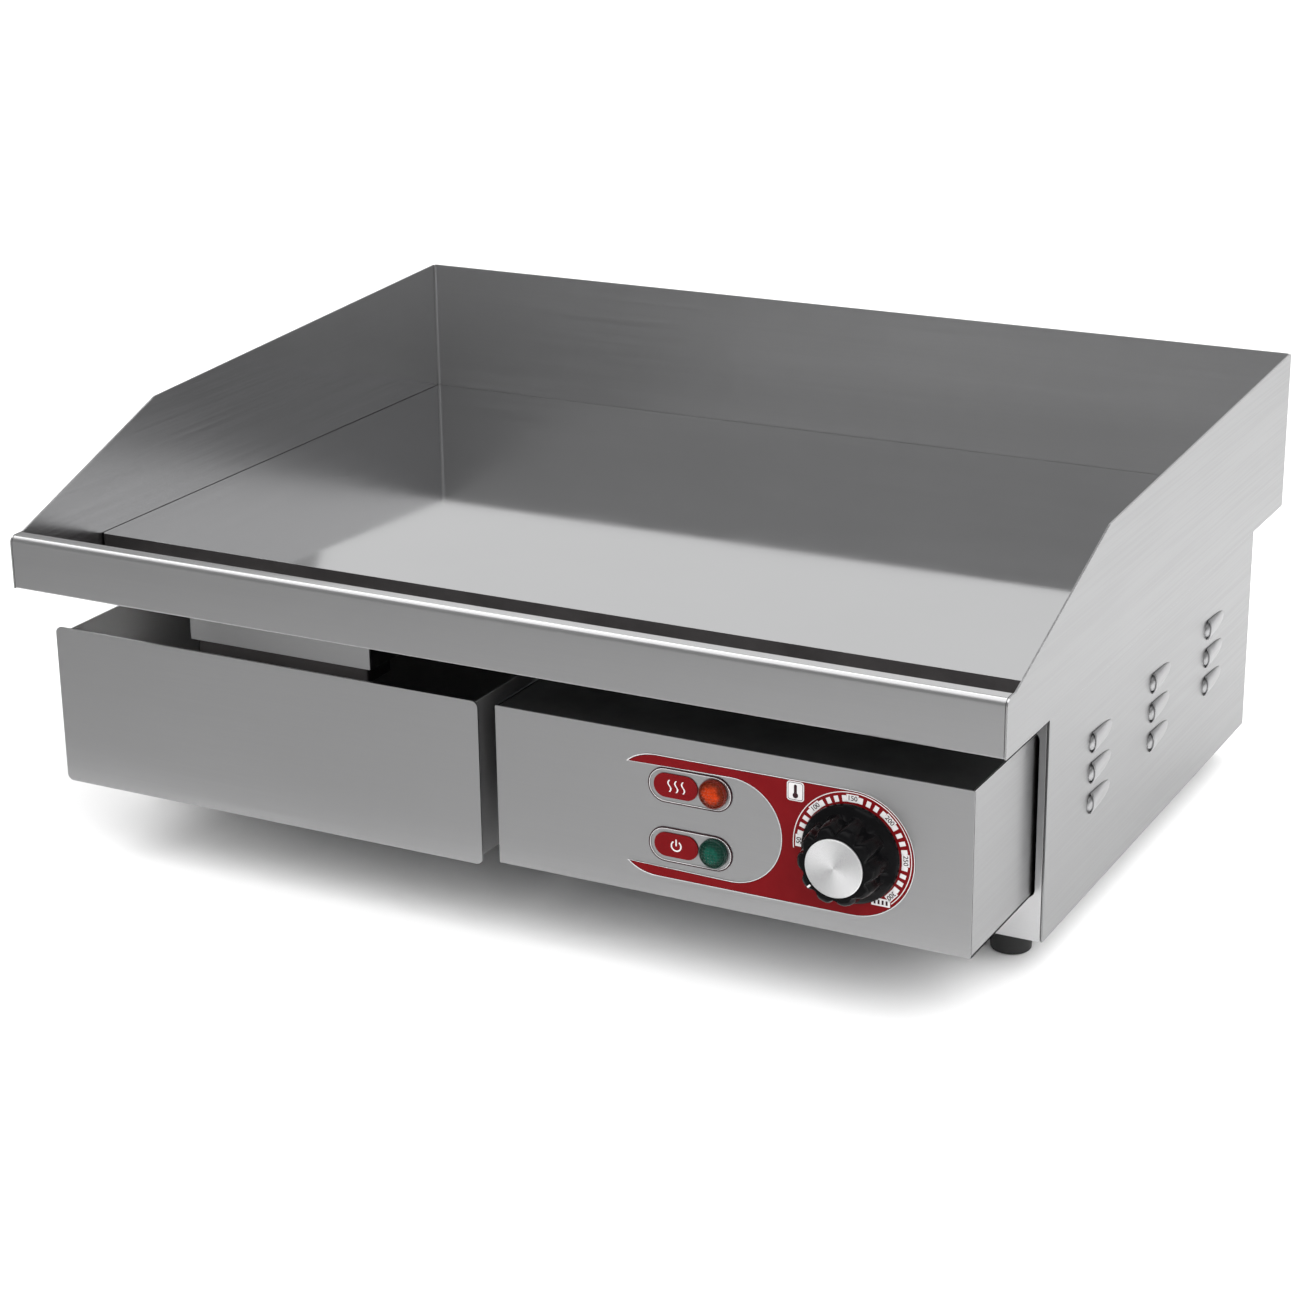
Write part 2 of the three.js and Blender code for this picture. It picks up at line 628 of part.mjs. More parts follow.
function lampHole(z, radius) {
  return barY(LAMP_X, FASCIA_Y - 5, z, radius, 20, 20);
}

function controlBoxShell() {
  const outer = block(BOX_LEFT, BOX_RIGHT, FASCIA_Y, BOX_BACK_Y, BOX_BOTTOM, FASCIA_TOP);
  const hollow = block(
    BOX_LEFT + SHEET, BOX_RIGHT - SHEET, FASCIA_Y + SHEET, BOX_BACK_Y + 1, BOX_BOTTOM + SHEET,
    FASCIA_TOP + 1);
  const shaftHole = barY(KNOB_X, FASCIA_Y - 5, KNOB_Z, SHAFT_HOLE, 20, 20);
  return cut(
    cut(outer, hollow), shaftHole, lampHole(AMBER_LAMP_Z, LAMP_HOLE), lampHole(GREEN_LAMP_Z, LAMP_HOLE));
}

function controlBoxLid() {
  const inset = SHEET + GAP;
  return block(
    BOX_LEFT + inset, BOX_RIGHT - inset, FASCIA_Y + inset, CASE_FRONT_Y - GAP, FASCIA_TOP - GAP - SHEET,
    FASCIA_TOP - GAP);
}

// The printed overlay: a band that wraps round the dial at its right end, open to the left
// around a bay for the lamps.
const OVERLAY = { left: 81, endX: 198, endRadius: 31.2, bayX: 135.8, bayRadius: 26.4, tipZ: 25.6 };
const OVERLAY_Z = 85;

function controlOverlay() {
  const o = OVERLAY;
  const top = OVERLAY_Z + o.endRadius;
  const bottom = OVERLAY_Z - o.endRadius;
  const outline = new THREE.Shape();
  outline.moveTo(o.left, OVERLAY_Z + o.tipZ);
  outline.quadraticCurveTo(o.left + 6, top, o.left + 16, top);
  outline.lineTo(o.endX, top);
  outline.absarc(o.endX, OVERLAY_Z, o.endRadius, Math.PI / 2, -Math.PI / 2, true);
  outline.lineTo(o.left + 16, bottom);
  outline.quadraticCurveTo(o.left + 6, bottom, o.left, OVERLAY_Z - o.tipZ);
  outline.lineTo(o.bayX, OVERLAY_Z - o.bayRadius);
  outline.absarc(o.bayX, OVERLAY_Z, o.bayRadius, -Math.PI / 2, Math.PI / 2, false);
  const sheet = plateXZ(outline, OVERLAY_FRONT_Y, OVERLAY_FRONT_Y + OVERLAY_THICKNESS, 16);
  return cut(sheet, barY(KNOB_X, FASCIA_Y - 5, KNOB_Z, SHAFT_HOLE, 20, 20));
}

// A round indicator: a collar and a domed lens in front of the fascia, a body behind it.
function lampLens(z) {
  const profile = [[0, 0], [7.3, 0], [7.3, 1.2], [6.6, 2.6], [4.4, 3.9], [0, 4.5]];
  const geometry = new THREE.LatheGeometry(profile.map(([r, y]) => point2(r, -y)), 24);
  geometry.translate(LAMP_X, FASCIA_Y - GAP, z);
  return toSolid(geometry);
}

function lampBody(z) {
  const barrel = barY(LAMP_X, FASCIA_Y, z, LAMP_HOLE - 0.4, 24, 20);
  const nut = barY(LAMP_X, FASCIA_Y + SHEET + GAP, z, 8.6, 3, 6);
  const tabs = [-2.4, 2.4].map((dx) =>
    block(LAMP_X + dx - 0.4, LAMP_X + dx + 0.4, FASCIA_Y + 23, FASCIA_Y + 31, z - 2.4, z + 2.4));
  return union(barrel, nut, ...tabs);
}

const THERMOSTAT_FRONT_Y = FASCIA_Y + SHEET + 1;
const THERMOSTAT_BACK_Y = THERMOSTAT_FRONT_Y + 32;
const SHAFT_RADIUS = 3;

function thermostatBody() {
  const shape = roundedRectangle(KNOB_X - 21, KNOB_X + 21, KNOB_Z - 18, KNOB_Z + 18, 5);
  const body = plateXZ(shape, THERMOSTAT_FRONT_Y + 1.5, THERMOSTAT_BACK_Y, 4);
  const bracket = block(
    KNOB_X - 24, KNOB_X + 24, THERMOSTAT_FRONT_Y, THERMOSTAT_FRONT_Y + 1.8, KNOB_Z - 10, KNOB_Z + 10);
  const bore = barY(KNOB_X, THERMOSTAT_FRONT_Y - 5, KNOB_Z, SHAFT_RADIUS + GAP, 30, 20);
  return cut(union(body, bracket), bore);
}

// The shaft has a flat over the length that the knob grips.
function thermostatShaft() {
  const start = KNOB_FRONT_Y + 5;
  const bar = barY(KNOB_X, start, KNOB_Z, SHAFT_RADIUS, THERMOSTAT_FRONT_Y + 20 - start, 20);
  const flat = block(
    KNOB_X - 5, KNOB_X + 5, start - 1, KNOB_BACK_Y - 2, KNOB_Z + SHAFT_RADIUS - 1.2, KNOB_Z + 5);
  return cut(bar, flat);
}

const WIRE_CLEARANCE = 1; // a slanting wire end needs more room than a square one
const BULB = { start: 165, length: 90, radius: 3, z: PLATE_BOTTOM - GAP - 3 };

function capillaryTube() {
  const riseY = SHIELD_FRONT_Y + 14;
  return smoothRun([
    [KNOB_X, THERMOSTAT_BACK_Y + WIRE_CLEARANCE, KNOB_Z + 6],
    [KNOB_X, THERMOSTAT_BACK_Y + 20, KNOB_Z + 10],
    [KNOB_X - 4, CASE_FRONT_Y, 105],
    [BULB_X, riseY - 6, 112],
    [BULB_X, riseY, 126],
    [BULB_X, riseY + 4, 140],
    [BULB_X, riseY + 20, BULB.z],
    [BULB_X, BULB.start - GAP, BULB.z],
  ], 1, 30);
}

function capillaryBulb() {
  return barY(BULB_X, BULB.start, BULB.z, BULB.radius, BULB.length, 12);
}

addNode('control_box_shell', controlBoxShell(), brushedSteel);
addNode('control_box_lid', controlBoxLid(), blackPaint);
addNode('control_overlay', controlOverlay(), redPrint);
addNode('heat_lamp_lens', lampLens(AMBER_LAMP_Z), amberLens);
addNode('heat_lamp_body', lampBody(AMBER_LAMP_Z), blackPlastic);
addNode('power_lamp_lens', lampLens(GREEN_LAMP_Z), greenLens);
addNode('power_lamp_body', lampBody(GREEN_LAMP_Z), blackPlastic);
addNode('thermostat_body', thermostatBody(), zincSteel);
addNode('thermostat_shaft', thermostatShaft(), zincSteel);
addNode('capillary_tube', capillaryTube(), copper);
addNode('capillary_bulb', capillaryBulb(), copper);

// Mains wires run up the control side and reach the element ends in front of the heat shield.
const WIRE_RADIUS = 1.6;
const terminalTop = TERMINALS.bottom + TERMINALS.wireHoleRise;
const elementEndY = ELEMENT_END_Y - WIRE_RADIUS - GAP;

function wire(points) {
  return smoothRun(points, WIRE_RADIUS, 18);
}

addNode('wire_live', wire([
  [TERMINALS.x + 16, TERMINALS.y - 12, terminalTop],
  [TERMINALS.x + 20, 320, 32],
  [150, 200, 40],
  [185, 120, 60],
  [KNOB_X - 6, THERMOSTAT_BACK_Y + 24, KNOB_Z - 4],
  [KNOB_X - 6, THERMOSTAT_BACK_Y + WIRE_CLEARANCE, KNOB_Z - 6],
]), brownWire);
addNode('wire_switched', wire([
  [KNOB_X + 10, THERMOSTAT_BACK_Y + WIRE_CLEARANCE, KNOB_Z - 2],
  [KNOB_X + 12, THERMOSTAT_BACK_Y + 22, KNOB_Z + 8],
  [KNOB_X + 16, CASE_FRONT_Y + 6, 118],
  [215, CASE_FRONT_Y + 7.5, 130],
  [215, elementEndY, ELEMENT_Z],
]), siliconeWire);
addNode('wire_element_link', wire([
  [35, elementEndY, ELEMENT_Z],
  [25, elementEndY, ELEMENT_Z - 3],
  [-25, elementEndY, ELEMENT_Z - 3],
  [-35, elementEndY, ELEMENT_Z],
]), siliconeWire);
addNode('wire_neutral', wire([
  [TERMINALS.x - 16, TERMINALS.y - 12, terminalTop],
  [70, 320, 36],
  [40, 200, 60],
  [24, 112, 105],
  [22, 100, 128],
  [12, 97, 133.5],
  [-10, 97, 134],
  [-60, 97, 134],
  [-200, 97, 134],
  [-215, elementEndY - 1, 138],
  [-215, elementEndY, ELEMENT_Z - 1],
]), blueWire);

// ---------------------------------------------------------------- knob
const knobGroup = new THREE.Group();
knobGroup.position.set(KNOB_X, KNOB_BACK_Y, KNOB_Z);
griddle.add(knobGroup);

const SKIRT_RADIUS = 24.4;
const GRIP_RADIUS = 20.5;
const GRIP_FRONT_RADIUS = 18.6;
const FLUTES = 10;
const FLUTE_RADIUS = 4.2;
const CAP_RADIUS = 14.4;

// The knob stands along -Y from its back face: a skirt, then a fluted grip with a capped front.
function knobBody() {
  const skirt = [
    [0, 0], [SKIRT_RADIUS, 0], [SKIRT_RADIUS, 2.2], [SKIRT_RADIUS - 1.2, 4], [GRIP_RADIUS, 6],
    [GRIP_FRONT_RADIUS + 0.6, KNOB_LENGTH - 1.6], [GRIP_FRONT_RADIUS - 1, KNOB_LENGTH], [0, KNOB_LENGTH],
  ];
  const outline = skirt.map(([r, y]) => point2(r, -y));
  let body = toSolid(new THREE.LatheGeometry(outline, 60));
  for (let i = 0; i < FLUTES; i += 1) {
    const angle = (2 * Math.PI * (i + 0.5)) / FLUTES;
    const reach = GRIP_RADIUS + 2.4;
    const [x, z] = [reach * Math.cos(angle), reach * Math.sin(angle)];
    body = cut(body, barY(x, -KNOB_LENGTH - 1, z, FLUTE_RADIUS, KNOB_LENGTH - 4, 16));
  }
  const capSeat = barY(0, -KNOB_LENGTH - 1, 0, CAP_RADIUS + GAP, 2, 40);
  const bore = barY(0, -KNOB_LENGTH + 4.5, 0, SHAFT_RADIUS + GAP, KNOB_LENGTH, 20);
  return cut(body, capSeat, bore);
}

function knobCap() {
  return barY(0, -KNOB_LENGTH - CAP_PROUD, 0, CAP_RADIUS, CAP_PROUD + 0.7, 48);
}

addNode('knob_body', knobBody(), blackPlastic, knobGroup);
addNode('knob_cap', knobCap(), aluminium, knobGroup);

// ---------------------------------------------------------------- grease drawer
const DRAWER_WALL = { left: -250.5, right: -3.1, top: 125.2, backTop: 104 };
const DRAWER_FLOOR = 42.6;

function drawerFront() {
  const shape = roundedRectangle(DRAWER_LEFT, DRAWER_RIGHT, DRAWER_BOTTOM, FASCIA_TOP, 3.5);
  return plateXZ(shape, FASCIA_Y, FASCIA_Y + 1.2, 5);
}

function drawerTray() {
  const front = FASCIA_Y + 1.2 + GAP;
  const back = front + DRAWER_LENGTH;
  const w = DRAWER_WALL;
  const outer = block(w.left, w.right, front, back, DRAWER_FLOOR, w.top);
  const hollow = block(
    w.left + SHEET, w.right - SHEET, front + SHEET, back - SHEET, DRAWER_FLOOR + SHEET, w.top + 1);
  const lowBack = block(
    w.left + SHEET, w.right - SHEET, back - SHEET - 1, back + 1, w.backTop, w.top + 1);
  return cut(outer, hollow, lowBack);
}

// Angle runners: a ledge under each side of the drawer, fixed to the case.
function drawerRunner(wallX, ledgeX) {
  const y0 = CASE_FRONT_Y + SHEET + GAP + 3;
  const y1 = FASCIA_Y + DRAWER_LENGTH + 60;
  const ledgeTop = DRAWER_FLOOR - GAP;
  const [x0, x1] = [wallX, ledgeX].sort((a, b) => a - b);
  const ledge = block(x0, x1, y0, y1, ledgeTop - SHEET, ledgeTop);
  const side = Math.sign(ledgeX - wallX);
  const [w0, w1] = [wallX, wallX + side * SHEET].sort((a, b) => a - b);
  return union(ledge, block(w0, w1, y0, y1, ledgeTop - SHEET, ledgeTop + 22));
}

addNode('drawer_front', drawerFront(), brushedSteel);
addNode('drawer_tray', drawerTray(), innerSteel);
addNode('drawer_runner_left', drawerRunner(-CASE_INNER, -238), zincSteel);
addNode('drawer_runner_right', drawerRunner(DIVIDER_X - GAP, -16), zincSteel);

export default griddle;
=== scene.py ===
"""The looks of a countertop flat top electric griddle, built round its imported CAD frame.

Every piece takes its place from a CAD node's box. Lengths are written in millimetres, as 3 * MM.
Outlines are drawn flat and carried into place by a plane function, such as XZ for something cut
from a sheet that faces the front.
"""

import math

import bmesh
import bpy
from mathutils import Matrix, Vector
from mathutils.geometry import tessellate_polygon


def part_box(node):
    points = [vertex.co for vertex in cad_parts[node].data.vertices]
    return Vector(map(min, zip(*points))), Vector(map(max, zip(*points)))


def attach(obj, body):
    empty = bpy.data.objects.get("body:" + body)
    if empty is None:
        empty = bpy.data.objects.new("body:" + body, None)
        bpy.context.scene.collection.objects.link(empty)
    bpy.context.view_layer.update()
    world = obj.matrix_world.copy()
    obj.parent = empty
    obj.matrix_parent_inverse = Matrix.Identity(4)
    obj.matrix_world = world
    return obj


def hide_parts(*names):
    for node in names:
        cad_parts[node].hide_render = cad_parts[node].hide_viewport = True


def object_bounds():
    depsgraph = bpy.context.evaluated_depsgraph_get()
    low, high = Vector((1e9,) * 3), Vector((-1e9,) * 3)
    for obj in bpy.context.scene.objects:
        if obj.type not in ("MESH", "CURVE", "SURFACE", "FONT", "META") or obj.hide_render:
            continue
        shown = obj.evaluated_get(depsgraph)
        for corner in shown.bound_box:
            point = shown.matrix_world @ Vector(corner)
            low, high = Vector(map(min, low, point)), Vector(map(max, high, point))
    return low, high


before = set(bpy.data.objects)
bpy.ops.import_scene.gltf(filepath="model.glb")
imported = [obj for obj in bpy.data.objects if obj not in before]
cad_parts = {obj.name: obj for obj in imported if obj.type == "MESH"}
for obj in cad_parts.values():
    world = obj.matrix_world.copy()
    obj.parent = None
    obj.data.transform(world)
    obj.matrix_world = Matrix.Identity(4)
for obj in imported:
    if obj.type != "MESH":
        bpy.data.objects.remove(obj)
cad_low, cad_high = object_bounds()

MM = 0.001
BASE = "griddle_base"
DRAWER = "grease_drawer"
KNOB = "thermostat_knob"

SHEET = 1.0 * MM
EDGE = 0.25 * MM


# ---------------- where things are
class Place:
    """The box of a CAD node, or of several together, as x0, x1, y0, y1, z0, z1."""

    def __init__(self, *names):
        boxes = [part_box(name) for name in names]
        self.low = Vector([min(low[i] for low, _ in boxes) for i in range(3)])
        self.high = Vector([max(high[i] for _, high in boxes) for i in range(3)])
        self.x0, self.y0, self.z0 = self.low
        self.x1, self.y1, self.z1 = self.high
        self.centre = (self.low + self.high) / 2


# A plane function carries a flat point (u, v) into place, at the depth w along the third axis.
def XZ(u, v, w):
    return (u, w, v)


def YZ(u, v, w):
    return (w, u, v)


def XY(u, v, w):
    return (u, v, w)


def side_name(side):
    return "right" if side > 0 else "left"


# ---------------- making meshes
def finish_piece(piece, body, material, stands_for=()):
    """Gives a piece its material and body; material is None where paint_faces has been used."""
    if material:
        piece.data.materials.append(material)
    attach(piece, body)
    if stands_for:
        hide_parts(*stands_for)


def add_object(name, data):
    item = bpy.data.objects.new(name, data)
    bpy.context.scene.collection.objects.link(item)
    return item


def mesh_piece(name, points, faces, smooth_angle=32):
    mesh = bpy.data.meshes.new(name)
    mesh.from_pydata(points, [], faces)
    build = bmesh.new()
    build.from_mesh(mesh)
    bmesh.ops.remove_doubles(build, verts=build.verts, dist=1e-7)
    bmesh.ops.recalc_face_normals(build, faces=build.faces)
    build.to_mesh(mesh)
    build.free()
    mesh.shade_smooth()
    mesh.set_sharp_from_angle(angle=math.radians(smooth_angle))
    return add_object(name, mesh)


def join(name, pieces):
    """One object out of several, so that a pressed or welded part is a single piece."""
    build = bmesh.new()
    for piece in pieces:
        build.from_mesh(piece.data)
        bpy.data.objects.remove(piece)
    mesh = bpy.data.meshes.new(name)
    build.to_mesh(mesh)
    build.free()
    return add_object(name, mesh)


def paint_faces(piece, materials, choose):
    """Gives each face the material whose place in the list choose(face) returns."""
    for material in materials:
        piece.data.materials.append(material)
    for face in piece.data.polygons:
        face.material_index = int(choose(face))


def soften(piece, width=EDGE, segments=2, edge_slot=-1):
    """Rounds the cut edges, so that they catch the light. edge_slot can give them their own material."""
    bevel = piece.modifiers.new("rounded_edges", "BEVEL")
    bevel.width = width
    bevel.segments = segments
    bevel.limit_method = "ANGLE"
    bevel.angle_limit = math.radians(40)
    bevel.harden_normals = True
    bevel.material = edge_slot
    return piece


def prism(name, loops, plane, near, far):
    """A plate from near to far: loops[0] is its outline and the others are holes."""
    points, faces = [], []
    flat = [Vector((u, v, 0)) for loop in loops for u, v in loop]
    count = len(flat)
    for w in (near, far):
        points += [plane(p.x, p.y, w) for p in flat]
    start = 0
    for loop in loops:
        n = len(loop)
        for i in range(n):
            a, b = start + i, start + (i + 1) % n
            faces.append((a, b, b + count, a + count))
        start += n
    for triangle in tessellate_polygon([[Vector((u, v, 0)) for u, v in loop] for loop in loops]):
        faces.append(tuple(triangle))
        faces.append(tuple(i + count for i in triangle))
    return mesh_piece(name, points, faces)


def arc(u, v, radius, start, end, steps=8):
    """Points on a circle, with angles in degrees."""
    turn = [math.radians(start + (end - start) * i / steps) for i in range(steps + 1)]
    return [(u + radius * math.cos(t), v + radius * math.sin(t)) for t in turn]


def circle(u, v, radius, steps=32):
    return arc(u, v, radius, 0, 360, steps)[:-1]


def rectangle(u0, u1, v0, v1):
    return [(u0, v0), (u1, v0), (u1, v1), (u0, v1)]


def rounded_rectangle(u0, u1, v0, v1, radius, steps=6):
    return (
        arc(u1 - radius, v0 + radius, radius, -90, 0, steps)
        + arc(u1 - radius, v1 - radius, radius, 0, 90, steps)
        + arc(u0 + radius, v1 - radius, radius, 90, 180, steps)
        + arc(u0 + radius, v0 + radius, radius, 180, 270, steps)
    )


def badge(u, v, half_u, half_v, radius):
    """A rounded rectangle about its middle."""
    return rounded_rectangle(u - half_u, u + half_u, v - half_v, v + half_v, radius)


def round_corners(path, radii, steps=6):
    """An open path with each inner corner replaced by an arc of its own radius."""
    out = [Vector(path[0])]
    for i in range(1, len(path) - 1):
        corner, radius = Vector(path[i]), radii[i - 1]
        back = (Vector(path[i - 1]) - corner).normalized()
        on = (Vector(path[i + 1]) - corner).normalized()
        half = back.angle(on) / 2
        if radius <= 0 or half > math.radians(89):
            out.append(corner)
            continue
        reach = radius / math.tan(half)
        centre = corner + (back + on).normalized() * (radius / math.sin(half))
        first = corner + back * reach - centre
        last = corner + on * reach - centre
        sweep = first.angle_signed(last)
        for k in range(steps + 1):
            turned = first.copy()
            turned.rotate(Matrix.Rotation(-sweep * k / steps, 2))
            out.append(centre + turned)
    out.append(Vector(path[-1]))
    return out


def folded(path, radii, side):
    """The outline of a folded sheet: a path along one face, thickened to one side."""
    face = round_corners(path, radii)
    other = []
    for i, point in enumerate(face):
        normals = []
        if i > 0:
            normals.append((point - face[i - 1]).normalized())
        if i < len(face) - 1:
            normals.append((face[i + 1] - point).normalized())
        normals = [Vector((n.y, -n.x)) * side for n in normals]
        total = sum(normals, Vector((0, 0))).normalized()
        other.append(point + total * (SHEET / total.dot(normals[0])))
    return [tuple(p) for p in face + other[::-1]]


def grid_faces(rows, across, closed=True):
    """Faces between neighbouring rows of points; closed joins each row's last point to its first."""
    faces = []
    for i in range(rows):
        for k in range(across if closed else across - 1):
            a, b = i * across + k, i * across + (k + 1) % across
            faces.append((a, b, b + across, a + across))
    return faces


def lathe(name, profile, centre, axis, steps=64, wobble=None):
    """Turns (radius, height) points about an axis, +Z or -Y. wobble(angle, r, h) changes a radius."""
    points = []
    for radius, height in profile:
        for k in range(steps):
            angle = 2 * math.pi * k / steps
            r = wobble(angle, radius, height) if wobble else radius
            across, up = r * math.cos(angle), r * math.sin(angle)
            if axis == "Z":
                points.append((centre[0] + across, centre[1] + up, centre[2] + height))
            else:
                points.append((centre[0] + across, centre[1] - height, centre[2] + up))
    return mesh_piece(name, points, grid_faces(len(profile) - 1, steps))


# ---------------- materials
class Shader:
    """A small helper to wire a procedural material."""

    def __init__(self, name, colour, roughness, metallic=0.0, **sockets):
        self.material = bpy.data.materials.new(name)
        self.material.use_nodes = True
        self.nodes = self.material.node_tree.nodes
        self.links = self.material.node_tree.links
        self.surface = self.nodes["Principled BSDF"]
        self.colour = colour
        self.set(self.surface, **{"Base Color": (*colour, 1), "Roughness": roughness, "Metallic": metallic})
        self.set(self.surface, **sockets)
        self.coordinates = self.nodes.new("ShaderNodeTexCoord")
        self.bump = None

    def set(self, node, **values):
        for socket, value in values.items():
            node.inputs[socket].default_value = value

    def noise(self, scale, stretch=(1, 1, 1), detail=3.0, roughness=0.55):
        """Noise in the piece's own coordinates; stretch makes it long across one axis."""
        mapping = self.nodes.new("ShaderNodeMapping")
        mapping.inputs["Scale"].default_value = stretch
        self.links.new(self.coordinates.outputs["Object"], mapping.inputs["Vector"])
        node = self.nodes.new("ShaderNodeTexNoise")
        self.set(node, Scale=scale, Detail=detail, Roughness=roughness)
        self.links.new(mapping.outputs["Vector"], node.inputs["Vector"])
        return node.outputs["Fac"]

    def range(self, value, low, high, from_low=0.3, from_high=0.7):
        node = self.nodes.new("ShaderNodeMapRange")
        self.set(node, **{"From Min": from_low, "From Max": from_high, "To Min": low, "To Max": high})
        self.links.new(value, node.inputs["Value"])
        return node.outputs["Result"]

    def combine(self, a, b, operation="ADD"):
        node = self.nodes.new("ShaderNodeMath")
        node.operation = operation
        self.links.new(a, node.inputs[0])
        self.links.new(b, node.inputs[1])
        return node.outputs["Value"]

    def tint(self, value, dark, light, start=0.3, end=0.7):
        """Colour that runs between two shades of the base colour as value goes from start to end."""
        ramp = self.nodes.new("ShaderNodeValToRGB")
        first, last = ramp.color_ramp.elements
        first.position = start
        last.position = end
        first.color = (*[c * dark for c in self.colour], 1)
        last.color = (*[min(c * light, 1) for c in self.colour], 1)
        self.links.new(value, ramp.inputs["Fac"])
        self.links.new(ramp.outputs["Color"], self.surface.inputs["Base Color"])

    def rough(self, value, low, high):
        self.links.new(self.range(value, low, high), self.surface.inputs["Roughness"])

    def height(self, value, distance):
        """Relief of this depth in metres, on top of any relief already there."""
        node = self.nodes.new("ShaderNodeBump")
        self.set(node, Strength=1.0, Distance=distance)
        self.links.new(value, node.inputs["Height"])
        if self.bump:
            self.links.new(self.bump.outputs["Normal"], node.inputs["Normal"])
        self.bump = node
        self.links.new(node.outputs["Normal"], self.surface.inputs["Normal"])


GRAIN_STRETCH = {"X": (0.008, 1, 1), "Y": (1, 0.008, 1), "Z": (1, 1, 0.008)}
SCRATCH_DEPTH = 0.0003 * MM


def brushed_steel(name, grain, colour=(0.55, 0.55, 0.555), roughness=0.3, metallic=1.0):
    """Stainless sheet with long fine scratches along one axis and faint handling marks."""
    steel = Shader(name, colour, roughness, metallic)
    stretch = GRAIN_STRETCH[grain]
    fine = steel.noise(3200, stretch, detail=4)
    coarse = steel.noise(1100, stretch, detail=1.5)
    marks = steel.noise(9, detail=4, roughness=0.6)
    steel.tint(steel.combine(coarse, marks, "MULTIPLY"), 0.97, 1.0, 0.12, 0.42)
    uneven = steel.combine(steel.range(coarse, 0.1, 0.9), steel.range(marks, -0.15, 0.15))
    steel.rough(uneven, roughness - 0.02, roughness + 0.03)
    steel.height(fine, SCRATCH_DEPTH * 0.5)
    steel.height(coarse, SCRATCH_DEPTH)
    return steel.material


def polished_plate():
    """The cooking plate: ground and polished, with a faint trace of the grinding."""
    steel = Shader("polished_plate", (0.74, 0.743, 0.75), 0.06, metallic=1.0)
    grinding = steel.noise(900, GRAIN_STRETCH["X"], detail=4)
    clouds = steel.noise(7, detail=5, roughness=0.6)
    steel.tint(clouds, 0.97, 1.0)
    steel.rough(clouds, 0.035, 0.08)
    steel.height(grinding, 0.000004)
    return steel.material


def dull_steel(name, colour, roughness):
    """Plain mill-finish sheet, zinc plate or heat-darkened tube."""
    steel = Shader(name, colour, roughness, metallic=1.0)
    patches = steel.noise(40, detail=5, roughness=0.6)
    pits = steel.noise(900, detail=3)
    steel.tint(patches, 0.82, 1.08)
    steel.rough(patches, roughness - 0.06, roughness + 0.08)
    steel.height(pits, 0.00002)
    return steel.material


def spun_aluminium(centre):
    """The knob's cap, with fine rings turned about its centre and a painted sheen: lighter and darker
    wedges in its colour.
    """
    metal = Shader("spun_aluminium", (0.66, 0.66, 0.665), 0.3, metallic=0.6, Anisotropic=0.85)
    mapping = metal.nodes.new("ShaderNodeMapping")
    mapping.inputs["Location"].default_value = (-centre[0], -centre[1], -centre[2])
    metal.links.new(metal.coordinates.outputs["Object"], mapping.inputs["Vector"])
    rings = metal.nodes.new("ShaderNodeTexWave")
    rings.wave_type = "RINGS"
    rings.rings_direction = "Y"
    metal.set(rings, Scale=900.0, Distortion=0.6, Detail=3.0)
    rings.inputs["Detail Scale"].default_value = 2.0
    metal.links.new(mapping.outputs["Vector"], rings.inputs["Vector"])
    metal.height(rings.outputs["Fac"], 0.000006)
    metal.rough(rings.outputs["Fac"], 0.24, 0.36)
    # Painted sheen: the colour runs lighter and darker in four wedges round the centre, for spun metal's
    # bow-tie highlight.
    parts = metal.nodes.new("ShaderNodeSeparateXYZ")
    metal.links.new(mapping.outputs["Vector"], parts.inputs["Vector"])
    angle = metal.combine(parts.outputs["Z"], parts.outputs["X"], "ARCTAN2")
    doubled = metal.combine(angle, angle)
    painted_sheen_wedge = metal.nodes.new("ShaderNodeMath")
    painted_sheen_wedge.operation = "SINE"
    metal.links.new(doubled, painted_sheen_wedge.inputs[0])
    metal.tint(metal.range(painted_sheen_wedge.outputs["Value"], 0.7, 0.3, -1, 1), 0.72, 1.12)
    around = metal.nodes.new("ShaderNodeVectorMath")
    around.operation = "CROSS_PRODUCT"
    around.inputs[1].default_value = (0, 1, 0)
    metal.links.new(mapping.outputs["Vector"], around.inputs[0])
    turned = metal.nodes.new("ShaderNodeVectorTransform")
    turned.vector_type = "VECTOR"
    turned.convert_from, turned.convert_to = "OBJECT", "WORLD"
    metal.links.new(around.outputs["Vector"], turned.inputs["Vector"])
    metal.links.new(turned.outputs["Vector"], metal.surface.inputs["Tangent"])
    return metal.material


def moulded(name, colour, roughness, grain=0.00003, **sockets):
    """Moulded plastic or rubber: a fine eggshell surface with slightly uneven gloss."""
    plastic = Shader(name, colour, roughness, **sockets)
    skin = plastic.noise(1400, detail=3)
    haze = plastic.noise(60, detail=4)
    plastic.tint(haze, 0.85, 1.15)
    plastic.rough(haze, roughness - 0.05, roughness + 0.07)
    plastic.height(skin, grain)
    return plastic.material


def printed(name, colour, roughness=0.38):
    """Ink under the clear film of a printed overlay."""
    ink = Shader(name, colour, roughness, **{"Specular IOR Level": 0.08})
    cloud = ink.noise(120, detail=4)
    ink.tint(cloud, 0.93, 1.05)
    ink.rough(cloud, roughness - 0.05, roughness + 0.05)
    ink.height(ink.noise(2200, detail=2), 0.000006)
    return ink.material


